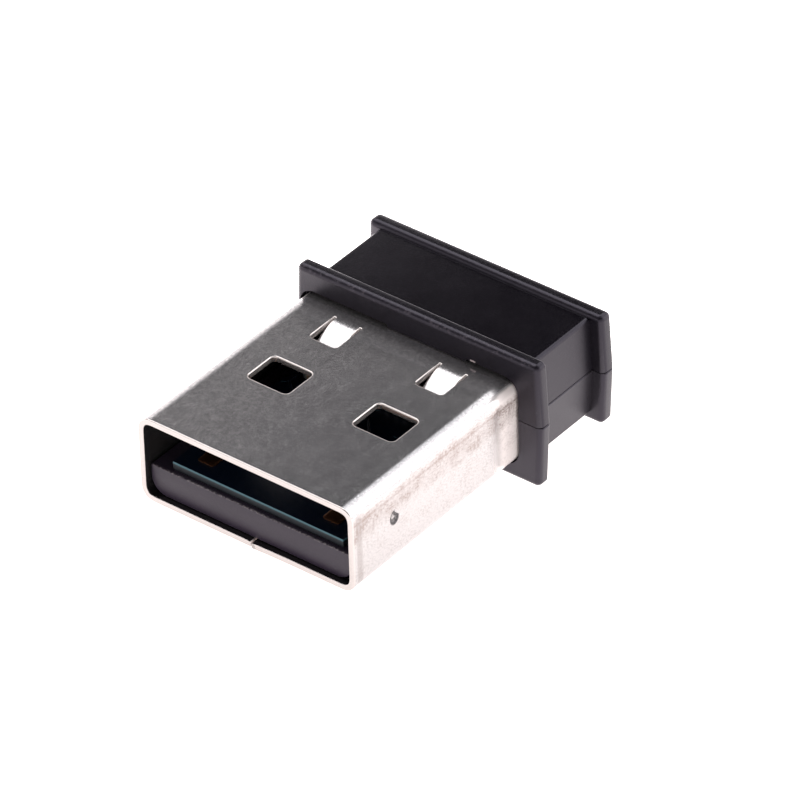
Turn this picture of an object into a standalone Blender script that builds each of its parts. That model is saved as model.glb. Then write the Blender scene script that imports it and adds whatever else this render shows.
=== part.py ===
"""USB wifi adapter of the very short kind: a folded steel USB-A plug in a spool-shaped plastic housing.

Units are metres, +Z is up. The plug's mouth faces -Y and the housing is at +Y. The origin is the
middle of the footprint of the housing, at the height of its lowest face.
Pieces of the plug and of the circuit board are placed from the plug's own frame: x from the plug's
centre line, y from its mouth, z from its mid-height. The two housing halves are placed from the
middle of their parting plane.
"""

import math

import bmesh
import bpy

# ---- driving dimensions -------------------------------------------------------------------------

# USB-A plug shell: 0.3 mm steel sheet folded round a 12.0 x 4.5 mm section
PLUG_WIDTH = 0.0120
PLUG_HEIGHT = 0.0045
SHEET = 0.0003
BEND_RADIUS = 0.0007
SHELL_LENGTH = 0.01192
SEAM_GAP = 0.00006
SEAM_X = 0.0002
TONGUE_LENGTH = 0.0014
TONGUE_X = (-0.0010, 0.0031)

# the latch holes, the sprung windows and the board share a centre line beside the plug's own
LANE_X = 0.00018
LATCH_HOLE_X = (0.00180, 0.00410)
LATCH_HOLE_Y = (0.00500, 0.00695)
LATCH_HOLE_ROUND = 0.00025
WINDOW_X = (0.00220, 0.00372)
WINDOW_Y = (0.00898, 0.01081)
WINDOW_ROUND = 0.00020
LANCE_SLIT = 0.00012
LANCE_DROP = 0.00055
DIMPLE_Y = 0.00284
DIMPLE_Z = 0.00025
DIMPLE_RADIUS = 0.00034
DIMPLE_SETBACK = 0.55

# contact carrier and circuit board
CARRIER_HALF_WIDTH = 0.00562
CARRIER_Y = (0.00030, 0.01000)
CARRIER_Z = (-0.00193, -0.00045)
CARRIER_CORNER = 0.00085
BOARD_WIDTH = 0.00953
BOARD_Y = (0.00060, 0.01610)
BOARD_TOP = -0.00005
BOARD_THICKNESS = 0.00060
BOARD_NOTCH = 0.00050
EAR_Y = (0.01030, 0.01130)
EAR_HALF_WIDTH = 0.00560
FIT_GAP = 0.00003

# gold contacts on the board: the outer pair reaches further forward than the inner pair
CONTACT_WIDTH = 0.00093
CONTACT_THICKNESS = 0.00005
CONTACT_REAR = 0.00730
OUTER_CONTACT_X = 0.00350
OUTER_CONTACT_FRONT = 0.00128
INNER_CONTACT_X = 0.00100
INNER_CONTACT_FRONT = 0.00228

# housing: front flange, narrower middle and rear flange, split at mid-height
FLANGE_FRONT_Y = 0.01152
FRONT_FLANGE_THICKNESS = 0.00065
FRONT_FLANGE_HALF_WIDTH = 0.00692
FRONT_FLANGE_UP = 0.00328
FRONT_FLANGE_DOWN = 0.00332
MIDDLE_HALF_WIDTH = 0.00604
MIDDLE_UP = 0.00277
MIDDLE_DOWN = 0.00241
REAR_FLANGE_Y = 0.01642
REAR_FLANGE_THICKNESS = 0.00082
REAR_FLANGE_HALF_WIDTH = 0.00670
REAR_FLANGE_UP = 0.00299
REAR_FLANGE_DOWN = 0.00288
DRAFT = 0.051
EDGE_ROUND = 0.00028
MIDDLE_ROUND = 0.00018
PARTING_GAP = 0.00004
WALL = 0.00060
FLOOR = 0.00050
OVERLAP = 0.00020

# plug pocket in the front flange
POCKET_DEPTH = 0.00045
POCKET_X = (-0.00610, 0.00626)
POCKET_HALF_HEIGHT = 0.00245
POCKET_LIP_Z = 0.00230

# places of the two frames in the part's frame
PLUG_OFFSET_X = -0.00050
TOTAL_LENGTH = REAR_FLANGE_Y + REAR_FLANGE_THICKNESS
MOUTH_Y = -0.5 * TOTAL_LENGTH
PARTING_Z = FRONT_FLANGE_DOWN
PARTING_ABOVE_PLUG = 0.00034
PLUG_Z = PARTING_Z - PARTING_ABOVE_PLUG

CORNER_STEPS = 6
BOARD_BOTTOM = BOARD_TOP - BOARD_THICKNESS
CLOSE_GAP = 0.00002


# ---- scene and helpers --------------------------------------------------------------------------

for old in list(bpy.data.objects):
    bpy.data.objects.remove(old)


def make_frame(name, place):
    """Return an empty that holds a group of pieces at its place."""
    frame = bpy.data.objects.new(name, None)
    frame.location = place
    bpy.context.scene.collection.objects.link(frame)
    return frame


PLUG_FRAME = make_frame("plug_frame", (PLUG_OFFSET_X, MOUTH_Y, PLUG_Z))
HOUSING_FRAME = make_frame("housing_frame", (0.0, MOUTH_Y, PARTING_Z))


def make_material(name, color, roughness, metallic):
    """Return a Principled material of one colour."""
    material = bpy.data.materials.new(name)
    material.use_nodes = True
    shader = material.node_tree.nodes["Principled BSDF"]
    shader.inputs["Base Color"].default_value = (*color, 1.0)
    shader.inputs["Roughness"].default_value = roughness
    shader.inputs["Metallic"].default_value = metallic
    return material


def add_object(name, bm, parent, material=None):
    """Turn a bmesh into a linked object; one without a material is a cutter."""
    bmesh.ops.recalc_face_normals(bm, faces=bm.faces)
    mesh = bpy.data.meshes.new(name)
    bm.to_mesh(mesh)
    bm.free()
    made = bpy.data.objects.new(name, mesh)
    made.parent = parent
    bpy.context.scene.collection.objects.link(made)
    if material is None:
        made.hide_render = True
        made.display_type = "WIRE"
    else:
        mesh.materials.append(material)
    return made


def box_mesh(x, y, z):
    """Return a bmesh box between the low and high value of each axis."""
    bm = bmesh.new()
    bmesh.ops.create_cube(bm, size=1.0)
    for vert in bm.verts:
        vert.co.x = x[0] if vert.co.x < 0 else x[1]
        vert.co.y = y[0] if vert.co.y < 0 else y[1]
        vert.co.z = z[0] if vert.co.z < 0 else z[1]
    return bm


def extruded_mesh(outline, low, high, axis):
    """Return a closed prism: a 2-D outline in XZ extruded along Y, or in XY extruded along Z."""
    bm = bmesh.new()
    if axis == "Y":
        verts = [bm.verts.new((u, low, v)) for u, v in outline]
        travel = (0.0, high - low, 0.0)
    else:
        verts = [bm.verts.new((u, v, low)) for u, v in outline]
        travel = (0.0, 0.0, high - low)
    base = bm.faces.new(verts)
    result = bmesh.ops.extrude_face_region(bm, geom=[base])
    moved = [item for item in result["geom"] if isinstance(item, bmesh.types.BMVert)]
    bmesh.ops.translate(bm, verts=moved, vec=travel)
    return bm


def corner(center_u, center_v, radius, start_degrees):
    """Return the points of a quarter arc, anticlockwise from its start angle."""
    points = []
    for step in range(CORNER_STEPS + 1):
        angle = math.radians(start_degrees + 90.0 * step / CORNER_STEPS)
        points.append((center_u + radius * math.cos(angle), center_v + radius * math.sin(angle)))
    return points


def combine(target, other, operation):
    """Add an exact Boolean to the target."""
    modifier = target.modifiers.new(operation.lower(), "BOOLEAN")
    modifier.operation = operation
    modifier.solver = "EXACT"
    modifier.object = other


def smooth(made, degrees=35.0):
    """Shade the round parts of a piece smooth."""
    made.data.shade_smooth()
    made.data.set_sharp_from_angle(angle=math.radians(degrees))


STEEL = make_material("plug_shell", (0.62, 0.60, 0.58), 0.30, 1.0)
CARRIER_PLASTIC = make_material("contact_carrier", (0.060, 0.056, 0.062), 0.45, 0.0)
BOARD_MASK = make_material("circuit_board", (0.008, 0.022, 0.060), 0.35, 0.0)
GOLD = make_material("contact_gold", (0.83, 0.58, 0.22), 0.25, 1.0)
TOP_PLASTIC = make_material("housing_top", (0.022, 0.021, 0.024), 0.50, 0.0)
BOTTOM_PLASTIC = make_material("housing_bottom", (0.024, 0.023, 0.026), 0.50, 0.0)
CHIP_PLASTIC = make_material("chip_epoxy", (0.020, 0.020, 0.021), 0.55, 0.0)
CRYSTAL_METAL = make_material("crystal_lid", (0.72, 0.69, 0.60), 0.28, 1.0)
INDUCTOR_FERRITE = make_material("inductor_ferrite", (0.090, 0.090, 0.095), 0.60, 0.0)
CERAMIC = make_material("capacitor_ceramic", (0.36, 0.25, 0.15), 0.50, 0.0)
RESISTOR_BLACK = make_material("resistor_glaze", (0.030, 0.030, 0.032), 0.35, 0.0)
COPPER = make_material("antenna_copper", (0.72, 0.45, 0.26), 0.35, 1.0)
SOLDER = make_material("solder", (0.66, 0.66, 0.68), 0.30, 1.0)


# ---- plug shell ---------------------------------------------------------------------------------

def section(inset):
    """Return the plug's rounded section as an open loop from one lip of the seam to the other."""
    half_width = 0.5 * PLUG_WIDTH - inset
    half_height = 0.5 * PLUG_HEIGHT - inset
    radius = BEND_RADIUS - inset
    side = half_width - radius
    level = half_height - radius
    points = [(SEAM_X + 0.5 * SEAM_GAP, -half_height)]
    points += corner(side, -level, radius, 270.0)
    points += corner(side, level, radius, 0.0)
    points += corner(-side, level, radius, 90.0)
    points += corner(-side, -level, radius, 180.0)
    points.append((SEAM_X - 0.5 * SEAM_GAP, -half_height))
    return points


def make_shell():
    """Folded tube with a bottom seam, a rear tongue, two latch holes and two lanced springs."""
    outline = section(0.0) + section(SHEET)[::-1]
    shell = add_object("plug_shell", extruded_mesh(outline, 0.0, SHELL_LENGTH, "Y"), PLUG_FRAME, STEEL)
    roof = (0.5 * PLUG_HEIGHT - SHEET, 0.5 * PLUG_HEIGHT)
    through = (0.5 * PLUG_HEIGHT - 3.0 * SHEET, 0.5 * PLUG_HEIGHT + SHEET)
    tongue_y = (SHELL_LENGTH - OVERLAP, SHELL_LENGTH + TONGUE_LENGTH)
    tongue = add_object("shell_tongue_guide", box_mesh(TONGUE_X, tongue_y, roof), PLUG_FRAME)
    combine(shell, tongue, "UNION")
    for side, label in ((-1.0, "left"), (1.0, "right")):
        hole_x = sorted(LANE_X + side * edge for edge in LATCH_HOLE_X)
        hole = add_object("latch_hole_cut_" + label, box_mesh(hole_x, LATCH_HOLE_Y, through), PLUG_FRAME)
        round_upright_edges(hole, LATCH_HOLE_ROUND)
        combine(shell, hole, "DIFFERENCE")
        window_x = sorted(LANE_X + side * edge for edge in WINDOW_X)
        window = add_object("window_cut_" + label, box_mesh(window_x, WINDOW_Y, through), PLUG_FRAME)
        round_upright_edges(window, WINDOW_ROUND)
        combine(shell, window, "DIFFERENCE")
        combine(shell, make_lance(window_x, label), "UNION")
        dimple = bmesh.new()
        bmesh.ops.create_uvsphere(dimple, u_segments=16, v_segments=10, radius=DIMPLE_RADIUS)
        reach = side * (0.5 * PLUG_WIDTH + DIMPLE_SETBACK * DIMPLE_RADIUS)
        bmesh.ops.translate(dimple, verts=dimple.verts, vec=(reach, DIMPLE_Y, DIMPLE_Z))
        combine(shell, add_object("dimple_cut_" + label, dimple, PLUG_FRAME), "DIFFERENCE")
    smooth(shell)


def round_upright_edges(made, radius):
    """Round the vertical edges of a cutter with a Bevel modifier driven by edge weights."""
    mesh = made.data
    weights = mesh.attributes.new("bevel_weight_edge", "FLOAT", "EDGE")
    for edge in mesh.edges:
        low, high = (mesh.vertices[index].co for index in edge.vertices)
        weights.data[edge.index].value = 1.0 if abs(low.z - high.z) > SHEET else 0.0
    bevel = made.modifiers.new("round", "BEVEL")
    bevel.limit_method = "WEIGHT"
    bevel.width = radius
    bevel.segments = 3


def make_lance(window_x, label):
    """Spring lanced from the sheet: joined at the window's rear edge, bent down towards the mouth."""
    low_x = window_x[0] + LANCE_SLIT
    high_x = window_x[1] - LANCE_SLIT
    roof_top = 0.5 * PLUG_HEIGHT
    roof_bottom = roof_top - SHEET
    rear = WINDOW_Y[1] + OVERLAP
    bend = WINDOW_Y[1] - 0.5 * OVERLAP
    tip = WINDOW_Y[0] + LANCE_SLIT
    profile = [(rear, roof_top), (bend, roof_top), (tip, roof_top - LANCE_DROP),
               (tip, roof_bottom - LANCE_DROP), (bend, roof_bottom), (rear, roof_bottom)]
    bm = bmesh.new()
    face = bm.faces.new([bm.verts.new((low_x, y, z)) for y, z in profile])
    result = bmesh.ops.extrude_face_region(bm, geom=[face])
    moved = [item for item in result["geom"] if isinstance(item, bmesh.types.BMVert)]
    bmesh.ops.translate(bm, verts=moved, vec=(high_x - low_x, 0.0, 0.0))
    return add_object("lance_guide_" + label, bm, PLUG_FRAME)


# ---- contact carrier, board and contacts --------------------------------------------------------

def make_carrier():
    """Plastic block on the plug's floor, with a shallow bed for the board."""
    low, high = CARRIER_Z
    side = CARRIER_HALF_WIDTH - CARRIER_CORNER
    outline = corner(-side, low + CARRIER_CORNER, CARRIER_CORNER, 180.0)
    outline += corner(side, low + CARRIER_CORNER, CARRIER_CORNER, 270.0)
    outline += [(CARRIER_HALF_WIDTH, high), (-CARRIER_HALF_WIDTH, high)]
    block = extruded_mesh(outline, *CARRIER_Y, "Y")
    carrier = add_object("contact_carrier", block, PLUG_FRAME, CARRIER_PLASTIC)
    half = 0.5 * BOARD_WIDTH + FIT_GAP
    bed_x = (LANE_X - half, LANE_X + half)
    bed_y = (BOARD_Y[0] - FIT_GAP, CARRIER_Y[1] + OVERLAP)
    bed_z = (BOARD_BOTTOM - FIT_GAP, high + OVERLAP)
    combine(carrier, add_object("board_bed_cut", box_mesh(bed_x, bed_y, bed_z), PLUG_FRAME), "DIFFERENCE")
    smooth(carrier)


def make_board():
    """Circuit board: a straight tongue in the plug, two ears that meet the shell, notched rear corners."""
    left = LANE_X - 0.5 * BOARD_WIDTH
    right = LANE_X + 0.5 * BOARD_WIDTH
    front, rear = BOARD_Y
    outline = [
        (left, front), (right, front),
        (right, EAR_Y[0]), (EAR_HALF_WIDTH, EAR_Y[0]), (EAR_HALF_WIDTH, EAR_Y[1]), (right, EAR_Y[1]),
        (right, rear - BOARD_NOTCH), (right - BOARD_NOTCH, rear),
        (left + BOARD_NOTCH, rear), (left, rear - BOARD_NOTCH),
        (left, EAR_Y[1]), (-EAR_HALF_WIDTH, EAR_Y[1]), (-EAR_HALF_WIDTH, EAR_Y[0]), (left, EAR_Y[0]),
    ]
    board = extruded_mesh(outline, BOARD_BOTTOM, BOARD_TOP, "Z")
    add_object("circuit_board", board, PLUG_FRAME, BOARD_MASK)


def make_contacts():
    """Four gold contacts, from the right of the mouth: supply, data minus, data plus, ground."""
    bottom = BOARD_TOP + CLOSE_GAP
    places = (
        ("contact_vbus", OUTER_CONTACT_X, OUTER_CONTACT_FRONT),
        ("contact_d_minus", INNER_CONTACT_X, INNER_CONTACT_FRONT),
        ("contact_d_plus", -INNER_CONTACT_X, INNER_CONTACT_FRONT),
        ("contact_ground", -OUTER_CONTACT_X, OUTER_CONTACT_FRONT),
    )
    for name, offset, front in places:
        center = LANE_X + offset
        width = (center - 0.5 * CONTACT_WIDTH, center + 0.5 * CONTACT_WIDTH)
        bar = box_mesh(width, (front, CONTACT_REAR), (bottom, bottom + CONTACT_THICKNESS))
        add_object(name, bar, PLUG_FRAME, GOLD)


# ---- parts soldered on the board ----------------------------------------------------------------

def make_board_part(name, center, size, material, underside=False):
    """Rectangular part on the top or the underside of the board; its long edges are slightly eased."""
    if underside:
        z = (BOARD_BOTTOM - CLOSE_GAP - size[2], BOARD_BOTTOM - CLOSE_GAP)
    else:
        z = (BOARD_TOP + CLOSE_GAP, BOARD_TOP + CLOSE_GAP + size[2])
    x = (center[0] - 0.5 * size[0], center[0] + 0.5 * size[0])
    y = (center[1] - 0.5 * size[1], center[1] + 0.5 * size[1])
    bm = box_mesh(x, y, z)
    bmesh.ops.bevel(bm, geom=list(bm.edges), offset=PART_EASE * min(size), segments=1, affect="EDGES")
    add_object(name, bm, PLUG_FRAME, material)


PART_EASE = 0.06
CHIP_SIZE = (0.0050, 0.0050, 0.00085)
CRYSTAL_SIZE = (0.0016, 0.0020, 0.00050)
INDUCTOR_SIZE = (0.0016, 0.0020, 0.00090)
REGULATOR_SIZE = (0.0015, 0.0029, 0.00100)
ESD_SIZE = (0.0016, 0.0010, 0.00050)
PASSIVE_ACROSS = (0.0010, 0.0005, 0.00045)
PASSIVE_ALONG = (0.0005, 0.0010, 0.00045)
RESISTOR_SIZE = (0.0010, 0.0005, 0.00032)
CHIP_CENTER = (0.0005, 0.0115)
LEFT_COLUMN_X = -0.0033
RIGHT_COLUMN_X = 0.0040
CRYSTAL_ROW_Y = 0.0129
REGULATOR_Y = 0.0102
ESD_CENTER = (-0.0010, 0.0083)
BEAD_CENTER = (0.0036, 0.0080)
REAR_ROW_Y = 0.0145
RF_INDUCTOR_X = -0.0004
RF_SERIES_X = -0.0018
RF_SHUNT_X = 0.0010
COLUMN_CAPACITOR_Y = (0.0090, 0.0098, 0.0106, 0.0114)
REAR_CAPACITOR_X = (0.0026, 0.0040)
UNDER_CAPACITOR_X = -0.0025
UNDER_CAPACITOR_Y = (0.0122, 0.0132)
UNDER_RESISTOR_X = 0.0030
UNDER_RESISTOR_Y = (0.0117, 0.0127, 0.0137)


def make_board_parts():
    """Radio chip, its clock, supply and matching parts, on both faces of the board."""
    make_board_part("wifi_chip", CHIP_CENTER, CHIP_SIZE, CHIP_PLASTIC)
    make_board_part("crystal", (LEFT_COLUMN_X, CRYSTAL_ROW_Y), CRYSTAL_SIZE, CRYSTAL_METAL)
    make_board_part("power_inductor", (RIGHT_COLUMN_X, CRYSTAL_ROW_Y), INDUCTOR_SIZE, INDUCTOR_FERRITE)
    make_board_part("voltage_regulator", (RIGHT_COLUMN_X, REGULATOR_Y), REGULATOR_SIZE, CHIP_PLASTIC)
    make_board_part("esd_protection", ESD_CENTER, ESD_SIZE, CHIP_PLASTIC)
    make_board_part("vbus_ferrite_bead", BEAD_CENTER, PASSIVE_ALONG, INDUCTOR_FERRITE)
    make_board_part("rf_inductor", (RF_INDUCTOR_X, REAR_ROW_Y), PASSIVE_ACROSS, INDUCTOR_FERRITE)
    make_board_part("rf_capacitor_series", (RF_SERIES_X, REAR_ROW_Y), PASSIVE_ACROSS, CERAMIC)
    make_board_part("rf_capacitor_shunt", (RF_SHUNT_X, REAR_ROW_Y), PASSIVE_ACROSS, CERAMIC)
    places = [(LEFT_COLUMN_X, y) for y in COLUMN_CAPACITOR_Y]
    places += [(x, REAR_ROW_Y) for x in REAR_CAPACITOR_X]
    for number, place in enumerate(places, start=1):
        make_board_part(f"capacitor_{number}", place, PASSIVE_ACROSS, CERAMIC)
    for number, y in enumerate(UNDER_CAPACITOR_Y, start=len(places) + 1):
        make_board_part(f"capacitor_{number}", (UNDER_CAPACITOR_X, y), PASSIVE_ACROSS, CERAMIC, True)
    for number, y in enumerate(UNDER_RESISTOR_Y, start=1):
        make_board_part(f"resistor_{number}", (UNDER_RESISTOR_X, y), RESISTOR_SIZE, RESISTOR_BLACK, True)


ANTENNA_X = (-0.0042, 0.0046)
ANTENNA_Y = (0.0150, 0.0158)
ANTENNA_LINE = 0.00022
ANTENNA_FOLDS = 9


def unit(x, y):
    """Return the unit vector along (x, y), or None when it has no length."""
    length = math.hypot(x, y)
    return (round(x / length), round(y / length)) if length > 0.0 else None


def make_antenna():
    """Meandering copper antenna along the rear edge of the board."""
    pitch = (ANTENNA_X[1] - ANTENNA_X[0]) / ANTENNA_FOLDS
    route = [(ANTENNA_X[0], ANTENNA_Y[0])]
    for fold in range(ANTENNA_FOLDS + 1):
        x = ANTENNA_X[0] + pitch * fold
        near, far = ANTENNA_Y if fold % 2 == 0 else ANTENNA_Y[::-1]
        if fold > 0:
            route.append((x, near))
        route.append((x, far))
    half = 0.5 * ANTENNA_LINE
    left_side, right_side = [], []
    for index, (x, y) in enumerate(route):
        before = route[max(index - 1, 0)]
        after = route[min(index + 1, len(route) - 1)]
        along_in = unit(x - before[0], y - before[1]) or unit(after[0] - x, after[1] - y)
        along_out = unit(after[0] - x, after[1] - y) or along_in
        shift_x = -half * (along_in[1] + along_out[1]) / (1.0 if along_in != along_out else 2.0)
        shift_y = half * (along_in[0] + along_out[0]) / (1.0 if along_in != along_out else 2.0)
        left_side.append((x + shift_x, y + shift_y))
        right_side.append((x - shift_x, y - shift_y))
    low = BOARD_TOP + CLOSE_GAP
    trace = extruded_mesh(left_side + right_side[::-1], low, low + CONTACT_THICKNESS, "Z")
    add_object("printed_antenna", trace, PLUG_FRAME, COPPER)


SOLDER_WIDTH = 0.00045
SOLDER_HEIGHT = 0.00040
SOLDER_SETBACK = 0.00010


def make_shell_solder():
    """Solder fillet on each board ear, filling the corner to the shell's side wall."""
    wall = 0.5 * PLUG_WIDTH - SHEET - FIT_GAP
    low = BOARD_TOP + CLOSE_GAP
    for side, label in ((-1.0, "left"), (1.0, "right")):
        outline = [(side * (wall - SOLDER_WIDTH), low), (side * wall, low), (side * wall, low + SOLDER_HEIGHT)]
        wedge = extruded_mesh(outline, EAR_Y[0] + SOLDER_SETBACK, EAR_Y[1] - SOLDER_SETBACK, "Y")
        add_object("shell_solder_" + label, wedge, PLUG_FRAME, SOLDER)


# ---- housing halves -----------------------------------------------------------------------------

def half_section(half_width, reach, rounding, inset):
    """Return one upright section of a half, from its left foot over the top to its right foot."""
    sign = math.copysign(1.0, reach)
    side = half_width - rounding
    level = abs(reach) - rounding
    radius = max(rounding - inset, CLOSE_GAP)
    points = [(inset - half_width, 0.5 * PARTING_GAP)]
    points += corner(-side, level, radius, 90.0)[::-1]
    points += corner(side, level, radius, 0.0)[::-1]
    points.append((half_width - inset, 0.5 * PARTING_GAP))
    return [(x - math.copysign(DRAFT * z, x), sign * z) for x, z in points]


def rounded_flange(y, half_width, reach, rounding):
    """Return the sections of a flange whose front and rear edges are rounded over."""
    sections = []
    for step in range(CORNER_STEPS + 1):
        angle = math.radians(90.0 * step / CORNER_STEPS)
        inset = rounding * (1.0 - math.sin(angle))
        depth = rounding * (1.0 - math.cos(angle))
        sections.append((y[0] + depth, half_section(half_width, reach, rounding, inset)))
        sections.append((y[1] - depth, half_section(half_width, reach, rounding, inset)))
    return sorted(sections, key=lambda section: section[0])


def lofted_half(sections):
    """Return a closed bmesh through the sections, with a flat foot on the parting plane."""
    bm = bmesh.new()
    loops = [[bm.verts.new((x, y, z)) for x, z in outline] for y, outline in sections]
    for near, far in zip(loops, loops[1:]):
        for index in range(len(near) - 1):
            bm.faces.new((near[index], near[index + 1], far[index + 1], far[index]))
    bm.faces.new(loops[0])
    bm.faces.new(loops[-1][::-1])
    bm.faces.new([loop[0] for loop in loops] + [loop[-1] for loop in reversed(loops)])
    return bm


def make_housing_half(name, sign, reaches, material):
    """One half of the spool: both flanges and the middle, hollowed and cut for the plug."""
    front_reach, middle_reach, rear_reach = (sign * reach for reach in reaches)
    front_y = (FLANGE_FRONT_Y, FLANGE_FRONT_Y + FRONT_FLANGE_THICKNESS)
    middle = half_section(MIDDLE_HALF_WIDTH, middle_reach, MIDDLE_ROUND, 0.0)
    sections = rounded_flange(front_y, FRONT_FLANGE_HALF_WIDTH, front_reach, EDGE_ROUND)
    sections += [(front_y[1], middle), (REAR_FLANGE_Y, middle)]
    sections += rounded_flange((REAR_FLANGE_Y, TOTAL_LENGTH), REAR_FLANGE_HALF_WIDTH, rear_reach,
                               EDGE_ROUND)
    half = add_object(name, lofted_half(sections), HOUSING_FRAME, material)
    hollow_half_width = MIDDLE_HALF_WIDTH - DRAFT * abs(middle_reach) - WALL
    hollow_y = (front_y[0] + POCKET_DEPTH - OVERLAP, TOTAL_LENGTH - WALL)
    hollow_z = sorted((-sign * OVERLAP, middle_reach - sign * FLOOR))
    hollow = box_mesh((-hollow_half_width, hollow_half_width), hollow_y, hollow_z)
    combine(half, add_object(name + "_hollow_cut", hollow, HOUSING_FRAME), "DIFFERENCE")
    combine(half, make_pocket_cutter(name), "DIFFERENCE")
    return half


def make_pocket_cutter(name):
    """Pocket for the shell; its upper lip comes down close over the shell's rear tongue."""
    left, right = POCKET_X
    top = POCKET_HALF_HEIGHT
    radius = BEND_RADIUS + 0.5 * (right - 0.5 * PLUG_WIDTH)
    outline = corner(left + radius, -top + radius, radius, 180.0)
    outline += corner(right - radius, -top + radius, radius, 270.0)
    outline += corner(right - radius, top - radius, radius, 0.0)
    outline += [(TONGUE_X[1] + OVERLAP, top), (TONGUE_X[1] + 0.5 * OVERLAP, POCKET_LIP_Z)]
    outline += [(TONGUE_X[0] - 0.5 * OVERLAP, POCKET_LIP_Z), (TONGUE_X[0] - OVERLAP, top)]
    outline += corner(left + radius, top - radius, radius, 90.0)
    y = (FLANGE_FRONT_Y - OVERLAP, FLANGE_FRONT_Y + POCKET_DEPTH)
    return add_object(name + "_pocket_cut", extruded_mesh(outline, *y, "Y"), PLUG_FRAME)


PEG_RADIUS = 0.00022
PEG_HOLE_RADIUS = 0.00026
PEG_X = 0.00600
PEG_REACH = 0.00060


def peg_mesh(side, radius, z):
    """Return a cylinder at one end of the rear flange."""
    bm = bmesh.new()
    bmesh.ops.create_cone(bm, cap_ends=True, segments=20, radius1=radius, radius2=radius,
                          depth=z[1] - z[0])
    center = (side * PEG_X, REAR_FLANGE_Y + 0.5 * REAR_FLANGE_THICKNESS, 0.5 * (z[0] + z[1]))
    bmesh.ops.translate(bm, verts=bm.verts, vec=center)
    return bm


RIB_WIDTH = 0.00030
RIB_X = (-0.00395, 0.00445)
LOWER_RIB_Y = (0.01250, 0.01600)
UPPER_RIB_Y = (0.01592, 0.01658)


def add_rib(half, label, x, y, z):
    """Join an upright rib to a housing half; x is measured from the plug's centre line."""
    width = (x - 0.5 * RIB_WIDTH, x + 0.5 * RIB_WIDTH)
    guide = add_object(half.name + "_rib_guide_" + label, box_mesh(width, y, sorted(z)), PLUG_FRAME)
    combine(half, guide, "UNION")


def make_housing():
    """Upper and lower half, located by two pegs and holding the board between ribs."""
    top = make_housing_half("housing_top", 1.0, (FRONT_FLANGE_UP, MIDDLE_UP, REAR_FLANGE_UP),
                            TOP_PLASTIC)
    bottom = make_housing_half("housing_bottom", -1.0, (FRONT_FLANGE_DOWN, MIDDLE_DOWN,
                               REAR_FLANGE_DOWN), BOTTOM_PLASTIC)
    ceiling = PARTING_ABOVE_PLUG + MIDDLE_UP - FLOOR
    floor = PARTING_ABOVE_PLUG - MIDDLE_DOWN + FLOOR
    for x, side, label in ((RIB_X[0], -1.0, "left"), (RIB_X[1], 1.0, "right")):
        peg = peg_mesh(side, PEG_RADIUS, (-OVERLAP, PEG_REACH))
        combine(bottom, add_object("peg_guide_" + label, peg, HOUSING_FRAME), "UNION")
        hole = peg_mesh(side, PEG_HOLE_RADIUS, (-OVERLAP, PEG_REACH + OVERLAP))
        combine(top, add_object("peg_hole_cut_" + label, hole, HOUSING_FRAME), "DIFFERENCE")
        add_rib(top, label, x, UPPER_RIB_Y, (BOARD_TOP + FIT_GAP, ceiling + OVERLAP))
        add_rib(bottom, label, x, LOWER_RIB_Y, (floor - OVERLAP, BOARD_BOTTOM - FIT_GAP))
    smooth(top)
    smooth(bottom)


make_shell()
make_carrier()
make_board()
make_contacts()
make_board_parts()
make_antenna()
make_shell_solder()
make_housing()
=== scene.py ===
import math

import bmesh
import bpy
import numpy as np
from mathutils import Matrix, Vector
from mathutils.geometry import delaunay_2d_cdt


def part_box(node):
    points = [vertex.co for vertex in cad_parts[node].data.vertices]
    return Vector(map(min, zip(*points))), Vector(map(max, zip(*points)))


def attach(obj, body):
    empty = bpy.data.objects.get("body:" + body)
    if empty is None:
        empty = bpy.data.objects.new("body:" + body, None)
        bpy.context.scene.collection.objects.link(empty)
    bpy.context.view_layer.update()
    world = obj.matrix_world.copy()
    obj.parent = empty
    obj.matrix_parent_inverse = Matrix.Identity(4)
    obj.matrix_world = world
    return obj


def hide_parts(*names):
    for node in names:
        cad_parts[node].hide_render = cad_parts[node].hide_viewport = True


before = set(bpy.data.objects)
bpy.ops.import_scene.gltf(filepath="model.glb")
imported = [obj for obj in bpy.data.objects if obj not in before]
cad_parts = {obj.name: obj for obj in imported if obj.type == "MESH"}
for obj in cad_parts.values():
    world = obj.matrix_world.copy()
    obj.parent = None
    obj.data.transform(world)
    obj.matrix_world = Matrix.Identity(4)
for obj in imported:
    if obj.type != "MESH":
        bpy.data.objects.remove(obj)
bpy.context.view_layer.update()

# ---- camera and studio ---------------------------------------------------------------------------
# A long lens looks down on the plug's mouth and right-hand side. The object stands on a white
# light table, under a large soft light behind it on the right and a smaller one overhead.

camera_azimuth = math.radians(39.04)
camera_elevation = math.radians(36.59)
camera_roll = math.radians(-1.71)
camera_distance = 0.3323
camera_aim = Vector((0.0012955, 0.0000439, 0.0042437))
light_distance = 0.6
table_half = 3.0
table_z = -0.00002


def new_object(name, data):
    """An object of the scene that holds the data."""
    made = bpy.data.objects.new(name, data)
    bpy.context.scene.collection.objects.link(made)
    return made


camera = new_object("camera", bpy.data.cameras.new("camera"))
camera.data.sensor_width = 36.0
camera.data.lens = 339.9
camera.data.clip_start = 0.05
camera.data.clip_end = 20.0
camera_back = Vector((math.sin(camera_azimuth) * math.cos(camera_elevation),
                      -math.cos(camera_azimuth) * math.cos(camera_elevation),
                      math.sin(camera_elevation)))
camera_turn = (Matrix.Rotation(camera_azimuth, 4, "Z")
               @ Matrix.Rotation(0.5 * math.pi - camera_elevation, 4, "X")
               @ Matrix.Rotation(camera_roll, 4, "Z"))
camera.matrix_world = Matrix.Translation(camera_aim + camera_back * camera_distance) @ camera_turn
bpy.context.scene.camera = camera
bpy.context.scene.view_settings.view_transform = "Standard"


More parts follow.
